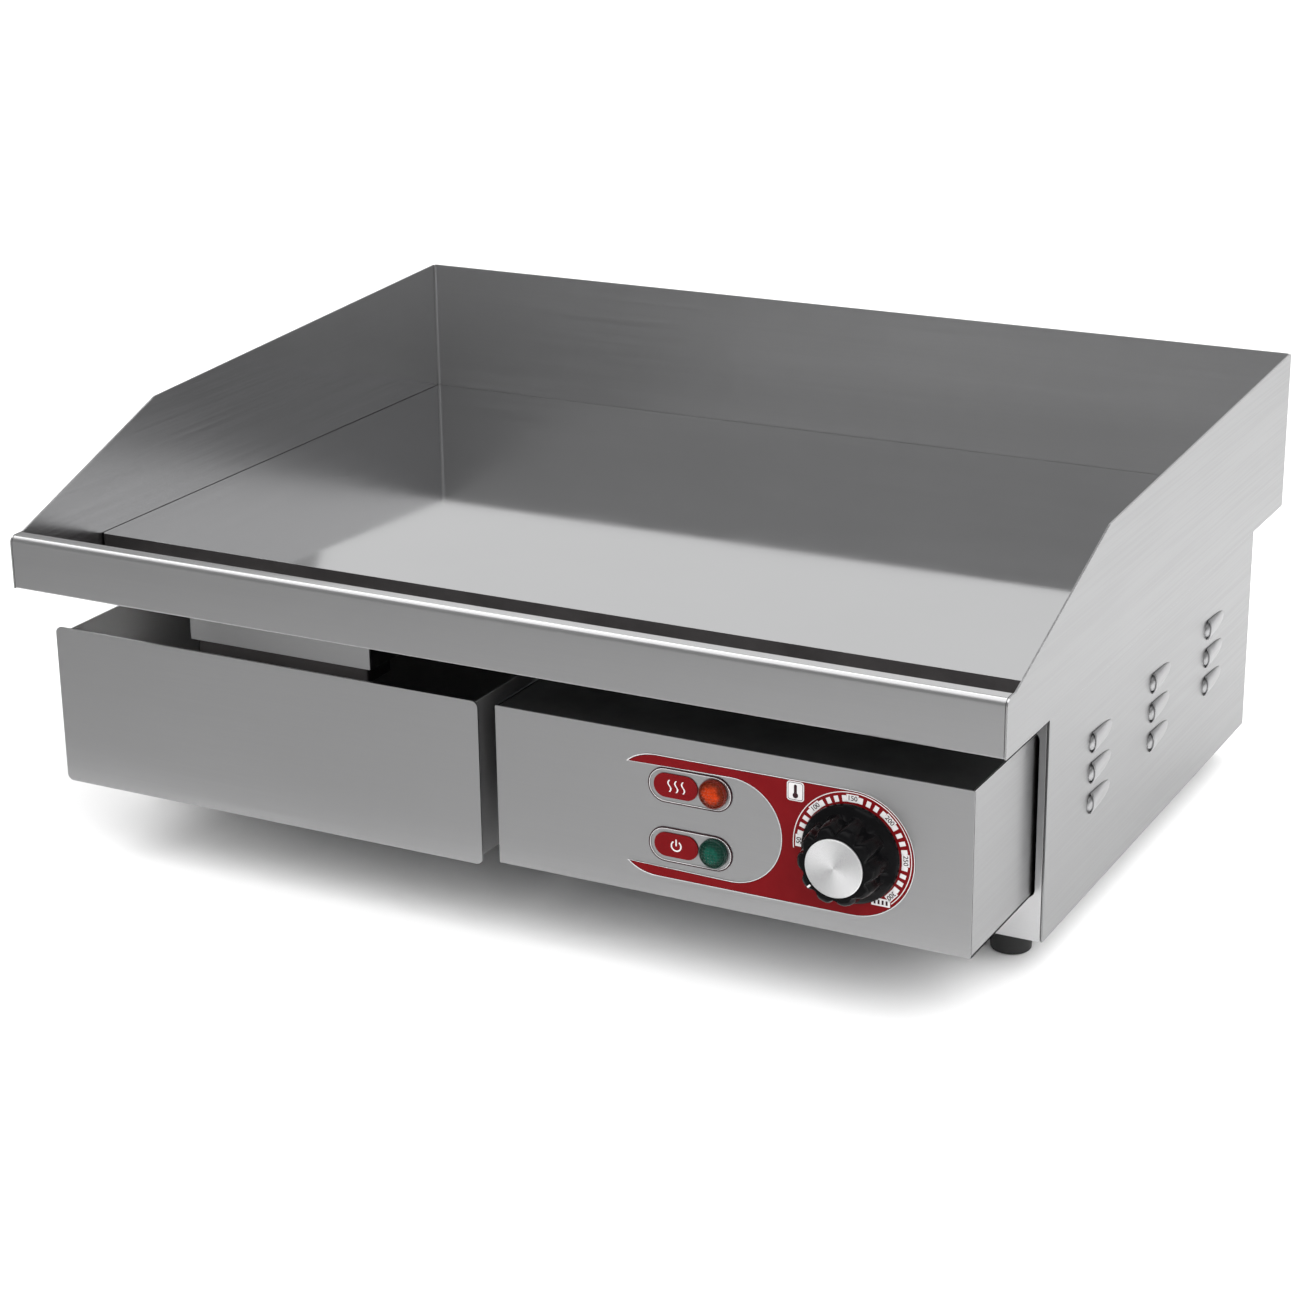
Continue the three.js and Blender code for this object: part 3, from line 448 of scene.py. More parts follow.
def lens_plastic(name, colour, glow, centre):
    """Clear coloured plastic whose colour darkens towards the rim of the lens: painted shade."""
    lens = Shader(name, colour, 0.12, **{
        "Transmission Weight": 0.2, "IOR": 1.49, "Specular IOR Level": 0.12,
        "Emission Color": (*glow, 1), "Emission Strength": 0.03})
    flat = lens.nodes.new("ShaderNodeMapping")
    flat.inputs["Scale"].default_value = (1, 0, 1)
    flat.inputs["Location"].default_value = (-centre.x, 0, -centre.z)
    lens.links.new(lens.coordinates.outputs["Object"], flat.inputs["Vector"])
    distance = lens.nodes.new("ShaderNodeVectorMath")
    distance.operation = "LENGTH"
    lens.links.new(flat.outputs["Vector"], distance.inputs[0])
    cloud = lens.noise(420, detail=3)
    # Painted shade: the colour darkens from the middle of the lens out to its rim.
    depth = lens.range(distance.outputs["Value"], 0.62, 0.1, LENS_RADIUS * 0.45, LENS_RADIUS)
    lens.tint(lens.combine(depth, lens.range(cloud, -0.12, 0.12)), 0.2, 1.15)
    lens.rough(cloud, 0.08, 0.2)
    lens.height(lens.noise(900, detail=2), 0.00001)
    return lens.material


def woven_mat():
    """The pale fibre blanket that keeps the heat in."""
    mat = Shader("ceramic_fibre", (0.8, 0.77, 0.68), 0.95)
    fibres = mat.noise(700, (1, 0.2, 1), detail=6, roughness=0.7)
    mat.tint(fibres, 0.8, 1.1)
    mat.rough(fibres, 0.88, 1.0)
    mat.height(fibres, 0.0003)
    return mat.material


def card_paint():
    """Grey paint that is darker towards the left end of the card."""
    paint = Shader("card_paint", (0.29, 0.29, 0.29), 0.8)
    parts = paint.nodes.new("ShaderNodeSeparateXYZ")
    paint.links.new(paint.coordinates.outputs["Object"], parts.inputs["Vector"])
    along = paint.range(parts.outputs["X"], 0.3, 0.7, -0.75, 0.1)
    paint.tint(along, 0.6, 1.0)
    paint.height(paint.noise(400, detail=2), 0.00001)
    return paint.material


def floor_paint():
    """Matt off-white paint, very slightly uneven."""
    floor = Shader("pale_floor", (0.86, 0.86, 0.86), 0.7)
    cloud = floor.noise(3, detail=2)
    floor.tint(cloud, 0.995, 1.005)
    return floor.material


steel_x = brushed_steel("brushed_steel_along_x", "X", roughness=0.3)
# A darker copy of the brushed steel for faces that point sideways: painted shade.
side_steel_painted_shade = brushed_steel("brushed_steel_along_y_painted_shade", "Y", colour=(0.275, 0.275, 0.278), roughness=0.3)
# A lighter copy of the brushed steel for the side guards' inner faces: painted light.
guard_inner_painted_light = brushed_steel("guard_inner_painted_light", "Y", colour=(0.6, 0.6, 0.605), roughness=0.24)
# A darker copy of the brushed steel for faces that point to the back: painted shade.
back_steel_painted_shade = brushed_steel("back_steel_painted_shade", "X", colour=(0.36, 0.36, 0.364), roughness=0.3)
steel_z = brushed_steel("brushed_steel_upright", "Z")
# A lighter copy of the brushed steel for rounded edges and the rail's lip: painted highlight.
edge_steel_painted_highlight = brushed_steel("painted_edge_highlight", "X", colour=(0.8, 0.8, 0.805), roughness=0.2)
# A lighter copy of the side panels' steel for the louvre hoods and tongues: painted light.
louvre_steel_painted_light = brushed_steel("louvre_steel_painted_light", "Y", colour=(0.42, 0.42, 0.425), roughness=0.45)
inner_x = brushed_steel("inner_steel", "X", roughness=0.22)
# A lighter copy of the brushed steel for the chute: painted light.
chute_steel_painted_light = brushed_steel("chute_steel_painted_light", "X", colour=(0.66, 0.66, 0.665), roughness=0.2)
plate_steel = polished_plate()
# Dark dull steel: the cooking plate's sides, and painted shade on the chute's spout.
plate_edge_and_spout_shade = dull_steel("plate_edge_and_spout_shade", (0.16, 0.15, 0.15), 0.5)
zinc = dull_steel("zinc_plate", (0.58, 0.585, 0.59), 0.36)
element_metal = dull_steel("element_sheath", (0.2, 0.18, 0.17), 0.5)
copper = dull_steel("copper_tube", (0.72, 0.4, 0.25), 0.32)
black_paint = moulded("black_paint", (0.012, 0.012, 0.012), 0.42, 0.00002)
black_plastic = moulded(
    "black_plastic", (0.003, 0.003, 0.0033), 0.16, 0.000004, **{"Specular IOR Level": 0.08})
rubber = moulded("rubber", (0.018, 0.018, 0.018), 0.72, 0.00006)
nylon = moulded("nylon", (0.7, 0.68, 0.62), 0.5)
sleeve_beige = moulded("sleeve_beige", (0.58, 0.54, 0.45), 0.6)
sleeve_brown = moulded("sleeve_brown", (0.15, 0.06, 0.03), 0.55)
sleeve_blue = moulded("sleeve_blue", (0.04, 0.12, 0.4), 0.55)
fibre = woven_mat()
red_ink = printed("red_ink", (0.145, 0.003, 0.005))
dark_ink = printed("dark_ink", (0.03, 0.012, 0.015))
silver_ink = printed("silver_ink", (0.60, 0.59, 0.59))
LENS_RADIUS = 6.7 * MM
HEAT_CENTRE = Place("heat_lamp_lens").centre
POWER_CENTRE = Place("power_lamp_lens").centre
amber_glass = lens_plastic("amber_lens", (0.42, 0.032, 0.003), (1.0, 0.14, 0.01), HEAT_CENTRE)
green_glass = lens_plastic("green_lens", (0.004, 0.058, 0.04), (0.02, 0.5, 0.3), POWER_CENTRE)
# Darker copies of the lens plastics for the lens rims: painted shade.
amber_rim_painted_shade = moulded("amber_rim_painted_shade", (0.10, 0.008, 0.003), 0.15, 0.00001)
green_rim_painted_shade = moulded("green_rim_painted_shade", (0.002, 0.02, 0.014), 0.15, 0.00001)
pan_steel = brushed_steel("pan_steel", "Y", colour=(0.5, 0.5, 0.5), roughness=0.4, metallic=0.88)


# ---------------- tray
rail_box = Place("front_rail")
tray = Place("front_rail", "splash_guard_left", "splash_guard_right", "splash_guard_back")
case = Place("case_side_left", "case_side_right", "case_front", "case_back")
plate_box = Place("griddle_plate")
chute_box = Place("grease_chute")
spout_box = Place("chute_spout")

LIP_DEPTH = 10 * MM
LIP_RADIUS = 4 * MM
PLATE_THICKNESS = 8 * MM
SLOPE_FOOT = tray.y0 + LIP_DEPTH
SLOPE_TOP = (tray.y0 + 128.4 * MM, 219.8 * MM)


def front_rail():
    """Hem, face, rounded lip, inner wall and trough floor are one folded sheet."""
    r = rail_box
    floor_top = r.z0 + SHEET
    path = [(r.y0 + 8 * MM, r.z0), (r.y0, r.z0), (r.y0, r.z1), (r.y0 + LIP_DEPTH, r.z1),
            (r.y0 + LIP_DEPTH, floor_top), (r.y1, floor_top)]
    outline = folded(path, [1.2 * MM, LIP_RADIUS, 1.6 * MM, 1.2 * MM], side=1)
    sheet = prism("front_rail_sheet", [outline], YZ, r.x0, r.x1)

    # The lip's top gets the lighter edge steel: a painted highlight.
    def on_lip_top(face):
        return face.normal.z > 0.8 and face.center.z > r.z1 - SHEET

    paint_faces(sheet, [steel_x, edge_steel_painted_highlight], on_lip_top)
    finish_piece(soften(sheet), BASE, None, ["front_rail"])


def side_guard(side):
    """A sloping wall and the ledge folded in at its foot; side is 1 on the right and -1 on the left."""
    name = side_name(side)
    g = Place(f"splash_guard_{name}")
    outer = g.x1 if side > 0 else g.x0
    y0, y1, z0 = tray.y0, tray.y1, tray.z0
    path = [(y0, z0), (y1, z0), (y1, g.z1), SLOPE_TOP, (SLOPE_FOOT, rail_box.z1), (y0, rail_box.z1)]
    radii = [1.2 * MM, 1.5 * MM, 3 * MM, 2 * MM, LIP_RADIUS]
    outline = [tuple(p) for p in round_corners(path + path[:1], radii)][1:]
    wall = prism(f"guard_wall_{name}", [outline], YZ, outer, outer - side * SHEET)
    inner = g.x0 if side > 0 else g.x1
    foot_section = rectangle(case.y0, y1 - SHEET, z0, z0 + SHEET)
    ledge = prism(f"guard_ledge_{name}", [foot_section], YZ, outer - side * SHEET * 0.5, inner)
    whole = join(f"splash_guard_sheet_{name}", [wall, ledge])
    # Outer faces get the darker side steel (painted shade), the rest the lighter inner steel (painted
    # light), rounded edges the edge steel (painted highlight).
    paint_faces(whole, [guard_inner_painted_light, side_steel_painted_shade, edge_steel_painted_highlight], lambda face: face.normal.x * side > 0.7)
    finish_piece(soften(whole, 0.3 * MM, 2, 2), BASE, None, [f"splash_guard_{name}"])


def back_guard():
    """The back wall and its folded foot. Its outer face gets a darker copy of the steel: painted shade."""
    g = Place("splash_guard_back")
    path = [(g.y0, g.z0), (g.y1, g.z0), (g.y1, g.z1)]
    outline = folded(path, [2 * MM], side=-1)
    sheet = prism("splash_guard_back_sheet", [outline], YZ, g.x0, g.x1)
    paint_faces(sheet, [steel_x, back_steel_painted_shade], lambda face: face.normal.y > 0.7)
    finish_piece(soften(sheet, 0.3 * MM), BASE, None, ["splash_guard_back"])


def corner_weld(side):
    """The polished bead where a side guard meets the back guard."""
    x = side * (tray.x1 - SHEET)
    y = tray.y1 - SHEET
    reach = 1.2 * MM
    hollow = reach * 0.35
    outline = [(x, y), (x - side * reach, y), (x - side * hollow, y - hollow), (x, y - reach)]
    bead = prism(f"corner_weld_{side_name(side)}", [outline], XY, plate_box.z1, tray.z1 - 1 * MM)
    finish_piece(bead, BASE, steel_z)


def cooking_plate():
    """A thick slab, polished on top and on its rounded rim, with dull sides."""
    p = plate_box
    outline = rounded_rectangle(p.x0, p.x1, p.y0, p.y1, 2 * MM)
    slab = prism("cooking_plate", [outline], XY, p.z1 - PLATE_THICKNESS, p.z1)
    paint_faces(slab, [plate_steel, plate_edge_and_spout_shade], lambda face: abs(face.normal.z) < 0.5)
    finish_piece(soften(slab, 0.6 * MM, 3, 0), BASE, None, ["griddle_plate"])


def walls_ring(name, box, material):
    """Four thin walls round an opening that goes right through."""
    outer = rounded_rectangle(box.x0, box.x1, box.y0, box.y1, 1.2 * MM)
    inner = rounded_rectangle(
        box.x0 + SHEET, box.x1 - SHEET, box.y0 + SHEET, box.y1 - SHEET, 0.5 * MM)
    ring = prism(f"{name}_walls", [outer, inner], XY, box.z0, box.z1)
    finish_piece(soften(ring), BASE, material, [name])


front_rail()
for side in (-1, 1):
    side_guard(side)
    corner_weld(side)
back_guard()
cooking_plate()
# The chute's lighter steel is painted light; the spout's dark steel is painted shade, for the shadow under
# the chute.
walls_ring("grease_chute", chute_box, chute_steel_painted_light)
walls_ring("chute_spout", spout_box, plate_edge_and_spout_shade)


# ---------------- case
LOUVRE_Y = [tray.y0 + y * MM for y in (148.2, 239.6, 331)]
LOUVRE_Z = [z * MM for z in (101.3, 85.2, 69.1)]
LOUVRE_LENGTH = 30 * MM
LOUVRE_RADIUS = 5 * MM
PANEL_HALF = Place("case_back").x1 + 0.3 * MM + SHEET
LOUVRE_HEIGHT = case.x1 - PANEL_HALF


def louvre_width(t):
    """Half the hood's width along its length: full at the mouth, closing to a point."""
    return LOUVRE_RADIUS * math.sqrt(max(1 - t ** 5, 0)) * (1 - 0.2 * t)


def louvre_slot(y, z):
    """The slot through the panel, set back behind the hood's mouth."""
    return rounded_rectangle(y + 4 * MM, y + 17 * MM, z - 2.6 * MM, z + 2.6 * MM, 2.2 * MM)


def louvre_hood(name, face_x, side, y, z, rows=16, across=14):
    """A pressed hood, open at its front end, that swells out of the panel and fades to a point."""
    points = []
    for i in range(rows + 1):
        t = i / rows
        half = louvre_width(t)
        swell = LOUVRE_HEIGHT * max(1 - t ** 1.5, 0) ** 0.8
        for k in range(across + 1):
            angle = math.pi * k / across
            flare = 1 + 0.12 * abs(math.cos(angle)) ** 6
            points.append((
                face_x + side * swell * math.sin(angle) ** 0.8,
                y + LOUVRE_LENGTH * t,
                z + half * flare * math.cos(angle)))
    return mesh_piece(name, points, grid_faces(rows, across + 1, closed=False), 60)


def louvre_tongue(name, face_x, side, y, z, rows=8, around=24):
    """The rounded lip of metal left in the mouth where the hood was pressed out."""
    points = []
    for i in range(rows + 1):
        lift = math.pi / 2 * i / rows
        for k in range(around):
            angle = 2 * math.pi * k / around
            points.append((
                face_x + side * LOUVRE_HEIGHT * 0.8 * math.sin(lift),
                y + 1.2 * MM + 4.5 * MM * math.cos(lift) * math.cos(angle),
                z + 0.85 * LOUVRE_RADIUS * math.cos(lift) * math.sin(angle)))
    return mesh_piece(name, points, grid_faces(rows, around), 60)


def case_side(side):
    """A side panel with its louvres: slots, hoods and the tongues in their mouths."""
    name = side_name(side)
    node = Place(f"case_side_{name}")
    outer = side * PANEL_HALF
    inner = outer - side * SHEET
    outline = rectangle(node.y0, node.y1, node.z0, node.z1)
    holes = [louvre_slot(y, z) for y in LOUVRE_Y for z in LOUVRE_Z]
    panel = prism(f"side_panel_{name}", [outline] + holes, YZ, inner, outer)
    hoods, tongues = [], []
    for column, y in enumerate(LOUVRE_Y):
        for row, z in enumerate(LOUVRE_Z):
            mark = f"{name}_{column}_{row}"
            hoods.append(louvre_hood(f"hood_{mark}", outer - side * 0.05 * MM, side, y, z))
            tongues.append(louvre_tongue(f"tongue_{mark}", outer - side * 0.1 * MM, side, y, z))
    # The louvres' steel is a lighter copy (painted light) and the panel's a darker copy (painted shade) of
    # the same steel.
    finish_piece(join(f"louvre_tongues_{name}", tongues), BASE, louvre_steel_painted_light)
    louvres = join(f"louvre_hoods_{name}", hoods)
    wall = louvres.modifiers.new("sheet_thickness", "SOLIDIFY")
    wall.thickness = 0.7 * MM
    wall.offset = -1
    finish_piece(louvres, BASE, louvre_steel_painted_light)
    finish_piece(soften(panel, 0.2 * MM), BASE, side_steel_painted_shade, [f"case_side_{name}"])


def case_front():
    """The front sheet, with one opening round the control box and one round the drawer."""
    node = Place("case_front")
    box = Place("control_box_shell")
    pan = Place("drawer_tray")
    top = box.z1 + 0.8 * MM
    outline = rectangle(node.x0, node.x1, node.z0, node.z1)
    holes = [
        rounded_rectangle(box.x0 - 1.8 * MM, box.x1 + 1.6 * MM, box.z0 - 1.3 * MM, top, 4 * MM),
        rounded_rectangle(pan.x0 - 4.5 * MM, pan.x1 + 3.7 * MM, pan.z0 - 1.6 * MM, top, 4 * MM)]
    panel = prism("case_front_panel", [outline] + holes, XZ, node.y0, node.y1)
    finish_piece(soften(panel, 0.2 * MM), BASE, steel_x, ["case_front"])


def case_back():
    """The back sheet, with a round hole for the cable gland."""
    node = Place("case_back")
    gland = Place("gland_locknut").centre
    outline = rectangle(node.x0, node.x1, node.z0, node.z1)
    hole = circle(gland.x, gland.z, 9 * MM, 40)
    panel = prism("case_back_panel", [outline, hole], XZ, node.y0, node.y1)
    # The back panel gets the darker copy of the steel: painted shade.
    finish_piece(soften(panel, 0.2 * MM), BASE, back_steel_painted_shade, ["case_back"])


for side in (-1, 1):
    case_side(side)
case_front()
case_back()


# ---------------- control box
shell = Place("control_box_shell")
lid = Place("control_box_lid")
overlay = Place("control_overlay")
knob_box = Place("knob_body")
cap_box = Place("knob_cap")
KNOB_CENTRE = Vector((knob_box.centre.x, knob_box.y1, knob_box.centre.z))
SHAFT_HOLE_RADIUS = 5 * MM
LAMP_HOLE_RADIUS = 6.4 * MM


def control_box():
    """A folded tray standing on its side: one sheet gives the face, floor and both ends."""
    s = shell
    outline = rounded_rectangle(s.x0, s.x1, s.z0, s.z1, 0.4 * MM)
    holes = [circle(KNOB_CENTRE.x, KNOB_CENTRE.z, SHAFT_HOLE_RADIUS)]
    holes += [circle(c.x, c.z, LAMP_HOLE_RADIUS) for c in (HEAT_CENTRE, POWER_CENTRE)]
    face = prism("box_face", [outline] + holes, XZ, s.y0, s.y0 + SHEET)
    y0 = s.y0 + SHEET / 2
    left = prism("box_left", [rectangle(s.x0, s.x0 + SHEET, y0, s.y1)], XY, s.z0, s.z1)
    right = prism("box_right", [rectangle(s.x1 - SHEET, s.x1, y0, s.y1)], XY, s.z0, s.z1)
    floor = prism("box_floor", [rectangle(s.x0, s.x1, y0, s.y1)], XY, s.z0, s.z0 + SHEET)
    whole = join("control_box_sheet", [face, left, right, floor])
    # The ends get the darker side steel (painted shade) and the rounded edges the lighter edge steel
    # (painted highlight).
    paint_faces(whole, [steel_x, side_steel_painted_shade, edge_steel_painted_highlight], lambda face: abs(face.normal.x) > 0.7)
    finish_piece(soften(whole, 0.4 * MM, 3, 2), BASE, None, ["control_box_shell"])


def box_cover():
    outline = rounded_rectangle(lid.x0, lid.x1, lid.y0, lid.y1, 1 * MM)
    cover = prism("control_box_cover", [outline], XY, lid.z0, lid.z1)
    finish_piece(soften(cover), BASE, black_paint, ["control_box_lid"])


control_box()
box_cover()


# ---------------- printed overlay
OVERLAY_Z = overlay.centre.z
END_X = KNOB_CENTRE.x
END_RADIUS = 31.2 * MM
BAY_X = overlay.x0 + 54.8 * MM
BAY_RADIUS = 26.4 * MM
BAND_TIP = 25.6 * MM


def layer_front(layer):
    """Where a printed layer's face lies; higher layers lie a little further forward."""
    return overlay.y0 + (0.30 - 0.06 * layer) * MM


def band_outline(inset):
    """The band that wraps round the dial and opens to the left round the two lamps."""
    top = END_RADIUS - inset
    bay = BAY_RADIUS + inset
    x = overlay.x0 + inset * 2.6
    tip = BAND_TIP + inset * 0.6
    steps = 8
    upper = []
    for i in range(steps + 1):
        t = i / steps
        u = (1 - t) ** 2 * x + 2 * t * (1 - t) * (x + 6 * MM) + t * t * (x + 16 * MM)
        v = (1 - t) ** 2 * tip + 2 * t * (1 - t) * top + t * t * top
        upper.append((u, OVERLAY_Z + v))
    lower = [(u, 2 * OVERLAY_Z - v) for u, v in upper[::-1]]
    end = arc(END_X, OVERLAY_Z, top, 90, -90, 32)
    inner = arc(BAY_X, OVERLAY_Z, bay, -90, 90, 32)
    return upper + end + lower + inner


def film(name, loops, layer, material, stands_for=()):
    """One printed shape of the overlay."""
    piece = prism(name, loops, XZ, overlay.y1, layer_front(layer))
    finish_piece(piece, BASE, material, stands_for)


def pill(u0, u1, v, half):
    """A bar with round ends."""
    return arc(u1 - half, v, half, -90, 90, 14) + arc(u0 + half, v, half, 90, 270, 14)


def dial_block(angle, r0, r1, width):
    """A small printed block that points at the dial's centre."""
    a = math.radians(angle)
    along = Vector((math.cos(a), math.sin(a)))
    across = Vector((-along.y, along.x)) * (width / 2)
    centre = Vector((KNOB_CENTRE.x, KNOB_CENTRE.z))
    corners = [along * r0 - across, along * r1 - across, along * r1 + across, along * r0 + across]
    return [tuple(centre + c) for c in corners]


def label(name, text, u, v, size, turn, layer, material):
    """Printed figures, turned into a thin mesh."""
    curve = bpy.data.curves.new(name, "FONT")
    curve.body = text
    curve.size = size
    curve.align_x = "CENTER"
    curve.align_y = "CENTER"
    curve.extrude = 0.02 * MM
    curve.offset = size * 0.012
    words = add_object(name, curve)
    words.matrix_world = (
        Matrix.Translation((u, layer_front(layer), v))
        @ Matrix.Rotation(math.radians(90), 4, "X") @ Matrix.Rotation(turn, 4, "Z"))
    bpy.context.view_layer.update()
    solid = words.evaluated_get(bpy.context.evaluated_depsgraph_get())
    mesh = bpy.data.meshes.new_from_object(solid)
    mesh.transform(words.matrix_world)
    mesh.materials.clear()
    bpy.data.objects.remove(words)
    finish_piece(add_object(name + "_print", mesh), BASE, material)


def band():
    """A silver keyline, a dark outline and the red band, each a little smaller than the last."""
    hole = circle(KNOB_CENTRE.x, KNOB_CENTRE.z, SHAFT_HOLE_RADIUS)
    film("overlay_keyline", [band_outline(-0.1 * MM), hole], 0, silver_ink, ["control_overlay"])
    film("overlay_outline", [band_outline(0.25 * MM), hole], 1, dark_ink)
    film("overlay_band", [band_outline(0.5 * MM), hole], 2, red_ink)


DIAL_START = 178
DIAL_STEP = 44
DIAL_NUMBERS = (50, 100, 150, 200, 250, 300)
TICKS_BETWEEN = 4
NUMBER_RADIUS = 26.75 * MM
LINE_RADIUS = 29.9 * MM


def dial_scale():
    """Boxed numbers with ticks between them, going clockwise, and a thin line round them."""
    for row, number in enumerate(DIAL_NUMBERS):
        angle = DIAL_START - row * DIAL_STEP
        turn = math.radians(angle)
        u = KNOB_CENTRE.x + NUMBER_RADIUS * math.cos(turn)
        v = KNOB_CENTRE.z + NUMBER_RADIUS * math.sin(turn)
        film(f"dial_box_{number}", [dial_block(angle, 24.9 * MM, 28.6 * MM, 6.0 * MM)], 3, silver_ink)
        label(f"dial_number_{number}", str(number), u, v, 3.4 * MM, math.radians(angle - 90), 4, dark_ink)
        if number == DIAL_NUMBERS[-1]:
            continue
        for k in range(1, TICKS_BETWEEN + 1):
            tick = dial_block(angle - k * DIAL_STEP / (TICKS_BETWEEN + 1), 25 * MM, 28 * MM, 2.2 * MM)
            film(f"dial_tick_{number}_{k}", [tick], 3, silver_ink)
    line = arc(KNOB_CENTRE.x, KNOB_CENTRE.z, LINE_RADIUS, 186, -48, 60)
    line += arc(KNOB_CENTRE.x, KNOB_CENTRE.z, LINE_RADIUS - 0.4 * MM, -48, 186, 60)
    film("dial_line", [line], 3, silver_ink)


def lamp_pill(name, v):
    """The outlined pill behind a lamp, with a red label that carries a plain sign."""
    x0 = overlay.x0 + 11.4 * MM
    x1 = overlay.x0 + 55.7 * MM
    half = 8.9 * MM
    rings = [("edge", 0.0, 0.6, dark_ink), ("line", 0.6, 0.85, silver_ink)]
    for part, outer, inner, ink in rings:
        loops = [
            pill(x0 + outer * MM, x1 - outer * MM, v, half - outer * MM),
            pill(x0 + inner * MM, x1 - inner * MM, v, half - inner * MM)]
        film(f"{name}_pill_{part}", loops, 2, ink)
    plain = pill(overlay.x0 + 14.4 * MM, overlay.x0 + 37.7 * MM, v, 6.1 * MM)
    film(f"{name}_label", [plain], 2, red_ink)


def heat_sign(v):
    """Three rising waves."""
    heights = [i / 10 for i in range(11)]
    for k in range(3):
        u = overlay.x0 + (22.5 + 3.6 * k) * MM
        left = [(u + 0.75 * MM * math.sin(t * 2 * math.pi), v + (t - 0.5) * 6 * MM) for t in heights]
        right = [(a + 0.7 * MM, b) for a, b in left[::-1]]
        film(f"heat_sign_{k + 1}", [left + right], 3, silver_ink)


def power_sign(v):
    """A broken ring with a stroke through the gap."""
    u = overlay.x0 + 26.1 * MM
    ring = arc(u, v, 2.9 * MM, 125, 415, 24) + arc(u, v, 2.2 * MM, 415, 125, 24)
    film("power_sign_ring", [ring], 3, silver_ink)
    film("power_sign_stroke", [rectangle(u - 0.35 * MM, u + 0.35 * MM, v, v + 3.4 * MM)], 3, silver_ink)


def thermometer_sign():
    """A silver card with a thin frame and a thermometer on it."""
    u = overlay.x0 + 88.3 * MM
    v = 110.7 * MM
    film("thermometer_panel", [badge(u, v, 4.35 * MM, 4.85 * MM, 1.6 * MM)], 3, silver_ink)
    frame_out = badge(u, v, 3.85 * MM, 4.35 * MM, 1.3 * MM)
    frame_in = badge(u, v, 3.6 * MM, 4.1 * MM, 1.1 * MM)
    film("thermometer_frame", [frame_out, frame_in], 4, dark_ink)
    stem = arc(u, v + 2.6 * MM, 0.75 * MM, 0, 180, 8) + arc(u, v - 2.1 * MM, 1.4 * MM, 122, 418, 20)
    film("thermometer_stem", [stem], 4, dark_ink)


def end_label():
    """The silver label at the end of the scale, with four plain bars."""
    u = KNOB_CENTRE.x + 14.7 * MM
    v = 63.3 * MM
    film("end_label", [badge(u, v, 4.7 * MM, 1.9 * MM, 0.4 * MM)], 3, silver_ink)
    for k in range(4):
        x = u + (k - 1.5) * 2 * MM
        bar = rectangle(x - 0.5 * MM, x + 0.5 * MM, v - 1.1 * MM, v + 1.1 * MM)
        film(f"end_label_bar_{k + 1}", [bar], 4, dark_ink)


band()
dial_scale()
lamp_pill("heat", HEAT_CENTRE.z)
lamp_pill("power", POWER_CENTRE.z)
heat_sign(HEAT_CENTRE.z)
power_sign(POWER_CENTRE.z)
thermometer_sign()
end_label()


# ---------------- lamps
LENS_RISE = 4.0 * MM
LENS_PITCH = 1.7 * MM
LENS_COUNT = 16


def lens_height(u, v):
    """A dome pressed into small pyramids."""
    across = (u / LENS_PITCH) % 1 - 0.5
    up = (v / LENS_PITCH) % 1 - 0.5
    pyramid = 0.5 - max(abs(across), abs(up))
    dome = LENS_RISE * math.sqrt(max(1 - 0.85 * (u * u + v * v) / LENS_RADIUS ** 2, 0))
    return dome + 0.9 * MM * (pyramid - 0.4)


def lens_dome(name, centre, back):
    """A square grid of points, with faces only inside the lens's circle."""
    step = LENS_PITCH / 4
    points, faces = [], []
    for i in range(-LENS_COUNT, LENS_COUNT + 1):
        for k in range(-LENS_COUNT, LENS_COUNT + 1):
            u, v = i * step, k * step
            points.append((centre.x + u, back - lens_height(u, v), centre.z + v))
    across = 2 * LENS_COUNT + 1
    for i in range(across - 1):
        for k in range(across - 1):
            middle = math.hypot(i - LENS_COUNT + 0.5, k - LENS_COUNT + 0.5) * step
            if middle < LENS_RADIUS:
                a, b = i * across + k, (i + 1) * across + k
                faces.append((a, a + 1, b + 1, b))
    return mesh_piece(name, points, faces, 16)


def lamp(node, material, shaded_rim_material):
    """A domed lens, with a smooth rim of the same plastic in a darker copy: painted shade."""
    box = Place(node)
    centre = box.centre
    finish_piece(lens_dome(f"{node}_dome", centre, box.y1), BASE, material, [node])
    profile = [(6.2, 1.2), (6.35, 1.9), (6.6, 2.1), (7.0, 1.9), (7.25, 1.4), (7.3, 0.6), (7.3, 0)]
    section = [(r * MM, h * MM) for r, h in profile]
    rim = lathe(f"{node}_rim", section, (centre.x, box.y1, centre.z), "-Y", 64)
    finish_piece(rim, BASE, shaded_rim_material)


lamp("heat_lamp_lens", amber_glass, amber_rim_painted_shade)
lamp("power_lamp_lens", green_glass, green_rim_painted_shade)


# ---------------- knob
LOBES = 10
LOBE_DEPTH = 2.6 * MM
POINTER_ANGLE = 222
GRIP_HEIGHT = 20.0
# Radius and height in millimetres, from the overlay forward.
GRIP_PROFILE = [
    (0.0, 0.0), (24.0, 0.0), (24.4, 0.5), (24.4, 2.0), (23.9, 2.9), (22.6, 3.7), (20.9, 4.6),
    (20.4, 6.0), (20.3, 8.5), (20.0, 12.0), (19.6, 15.5), (19.2, 17.6), (18.4, 19.0),
    (17.0, 19.8), (15.2, GRIP_HEIGHT), (14.7, 19.9), (14.6, 19.4), (0.0, 19.4)]


